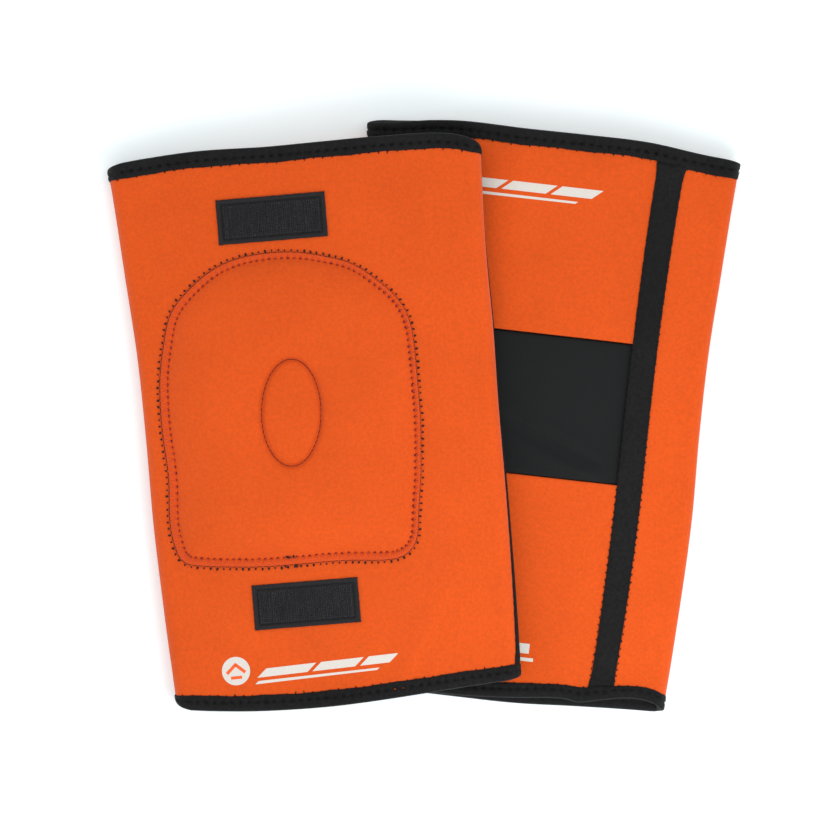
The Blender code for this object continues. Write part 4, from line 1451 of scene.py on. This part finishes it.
def add_floor():
    """A seamless pale floor."""
    mesh = bpy.data.meshes.new("floor")
    size = 6.0
    mesh.from_pydata([(-size, -size, 0), (size, -size, 0), (size, size, 0), (-size, size, 0)],
                     [], [(0, 1, 2, 3)])
    mesh.materials.append(pale_floor())
    floor = bpy.data.objects.new("floor", mesh)
    bpy.context.scene.collection.objects.link(floor)
    floor.location.z = cad_low.z - 0.0006


def add_softbox(name, place, size, watts):
    """A square light that faces the middle of the floor."""
    data = bpy.data.lights.new(name, "AREA")
    data.shape = "SQUARE"
    data.size = size
    data.energy = watts
    lamp = bpy.data.objects.new(name, data)
    bpy.context.scene.collection.objects.link(lamp)
    lamp.location = place
    toward = -lamp.location
    lamp.rotation_euler = toward.to_track_quat("-Z", "Y").to_euler()
    lamp.visible_camera = False


def add_world(strength):
    world = bpy.data.worlds.new("studio")
    world.use_nodes = True
    back = world.node_tree.nodes["Background"]
    back.inputs["Color"].default_value = (1, 1, 1, 1)
    back.inputs["Strength"].default_value = strength
    bpy.context.scene.world = world


def add_camera():
    """Straight above, far enough off for almost no perspective."""
    distance = 8.0
    view_width = 0.5082
    aimed = (-0.0027, -0.0030)
    data = bpy.data.cameras.new("camera")
    data.sensor_width = 36
    data.lens = 36 * distance / view_width
    data.clip_end = 40
    camera = bpy.data.objects.new("camera", data)
    bpy.context.scene.collection.objects.link(camera)
    camera.location = (aimed[0] + SHIFT[0], aimed[1] + SHIFT[1], 0.025 + distance)
    bpy.context.scene.camera = camera


def add_stage():
    add_floor()
    add_softbox("key", KEY_PLACE, KEY_SIZE, KEY_WATTS)
    add_world(ROUND_LIGHT)
    add_camera()
    bpy.context.scene.view_settings.view_transform = "Standard"


# Everything


def all_looks():
    return {
        "orange": jersey("orange_jersey", linear(221, 85, 27), 0.62 * MM, 0.50 * MM, 0.14 * MM,
                         0.035, 0.85, 0.85, 0.12),
        "core": foam_core(),
        "stretch": jersey("black_stretch_cloth", linear(13, 15, 16), 0.45 * MM, 0.40 * MM,
                          0.08 * MM, 0.08, 0.04, 0.6, 0.2),
        "binding": jersey("black_binding_cloth", linear(25, 25, 26), 0.75 * MM, 0.55 * MM,
                          0.20 * MM, 0.17, 0.12, 0.8, 0.14),
        "foam": cushion_foam(),
        "sunk_thread": thread("sunk_thread", linear(13, 13, 14), 0.0),
        "dark_thread": thread("dark_thread", linear(40, 12, 10), 0.05),
        "red_thread": thread("red_thread", linear(108, 14, 10), 0.05),
        "orange_thread": thread("orange_thread", linear(222, 84, 52), 0.1),
        "ground": hook_ground(),
        "hooks": hook_plastic(),
        "white_ink": print_ink("white_ink", linear(213, 208, 200)),
        "orange_ink": print_ink("orange_ink", linear(238, 92, 28)),
    }


def add_pad(pad, looks, cushion):
    """Everything that shows of one pad."""
    add_panels(pad, looks)
    add_seam_tape(pad, "left_seam_tape", left_seam, TAPE, looks)
    add_seam_tape(pad, "right_seam_tape", right_seam, 0.7 * TAPE, looks)
    add_binding(pad, "thigh_binding", PAD_LENGTH / 2, looks)
    add_binding(pad, "calf_binding", -PAD_LENGTH / 2, looks)
    add_cushion(pad, looks, cushion)
    add_cushion_stitches(pad, looks, cushion)
    add_quilting(pad, looks)
    add_hook_patch(pad, "thigh_hook_patch", THIGH_HOOK, looks)
    add_hook_patch(pad, "calf_hook_patch", CALF_HOOK, looks)
    add_marks(pad, looks)


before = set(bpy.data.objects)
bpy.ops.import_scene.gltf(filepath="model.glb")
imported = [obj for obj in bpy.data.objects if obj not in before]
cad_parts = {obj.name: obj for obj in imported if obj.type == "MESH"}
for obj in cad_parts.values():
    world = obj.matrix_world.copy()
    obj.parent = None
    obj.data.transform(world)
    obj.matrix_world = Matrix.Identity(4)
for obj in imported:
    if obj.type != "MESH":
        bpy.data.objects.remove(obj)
cad_low, cad_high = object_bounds()
SHIFT = (0.0, 0.0, 0.0)
SHIFT = frame_shift()
shared_looks = all_looks()
shared_cushion = Cushion()
for each in (UPPER, LOWER):
    add_pad(each, shared_looks, shared_cushion)
add_stage()
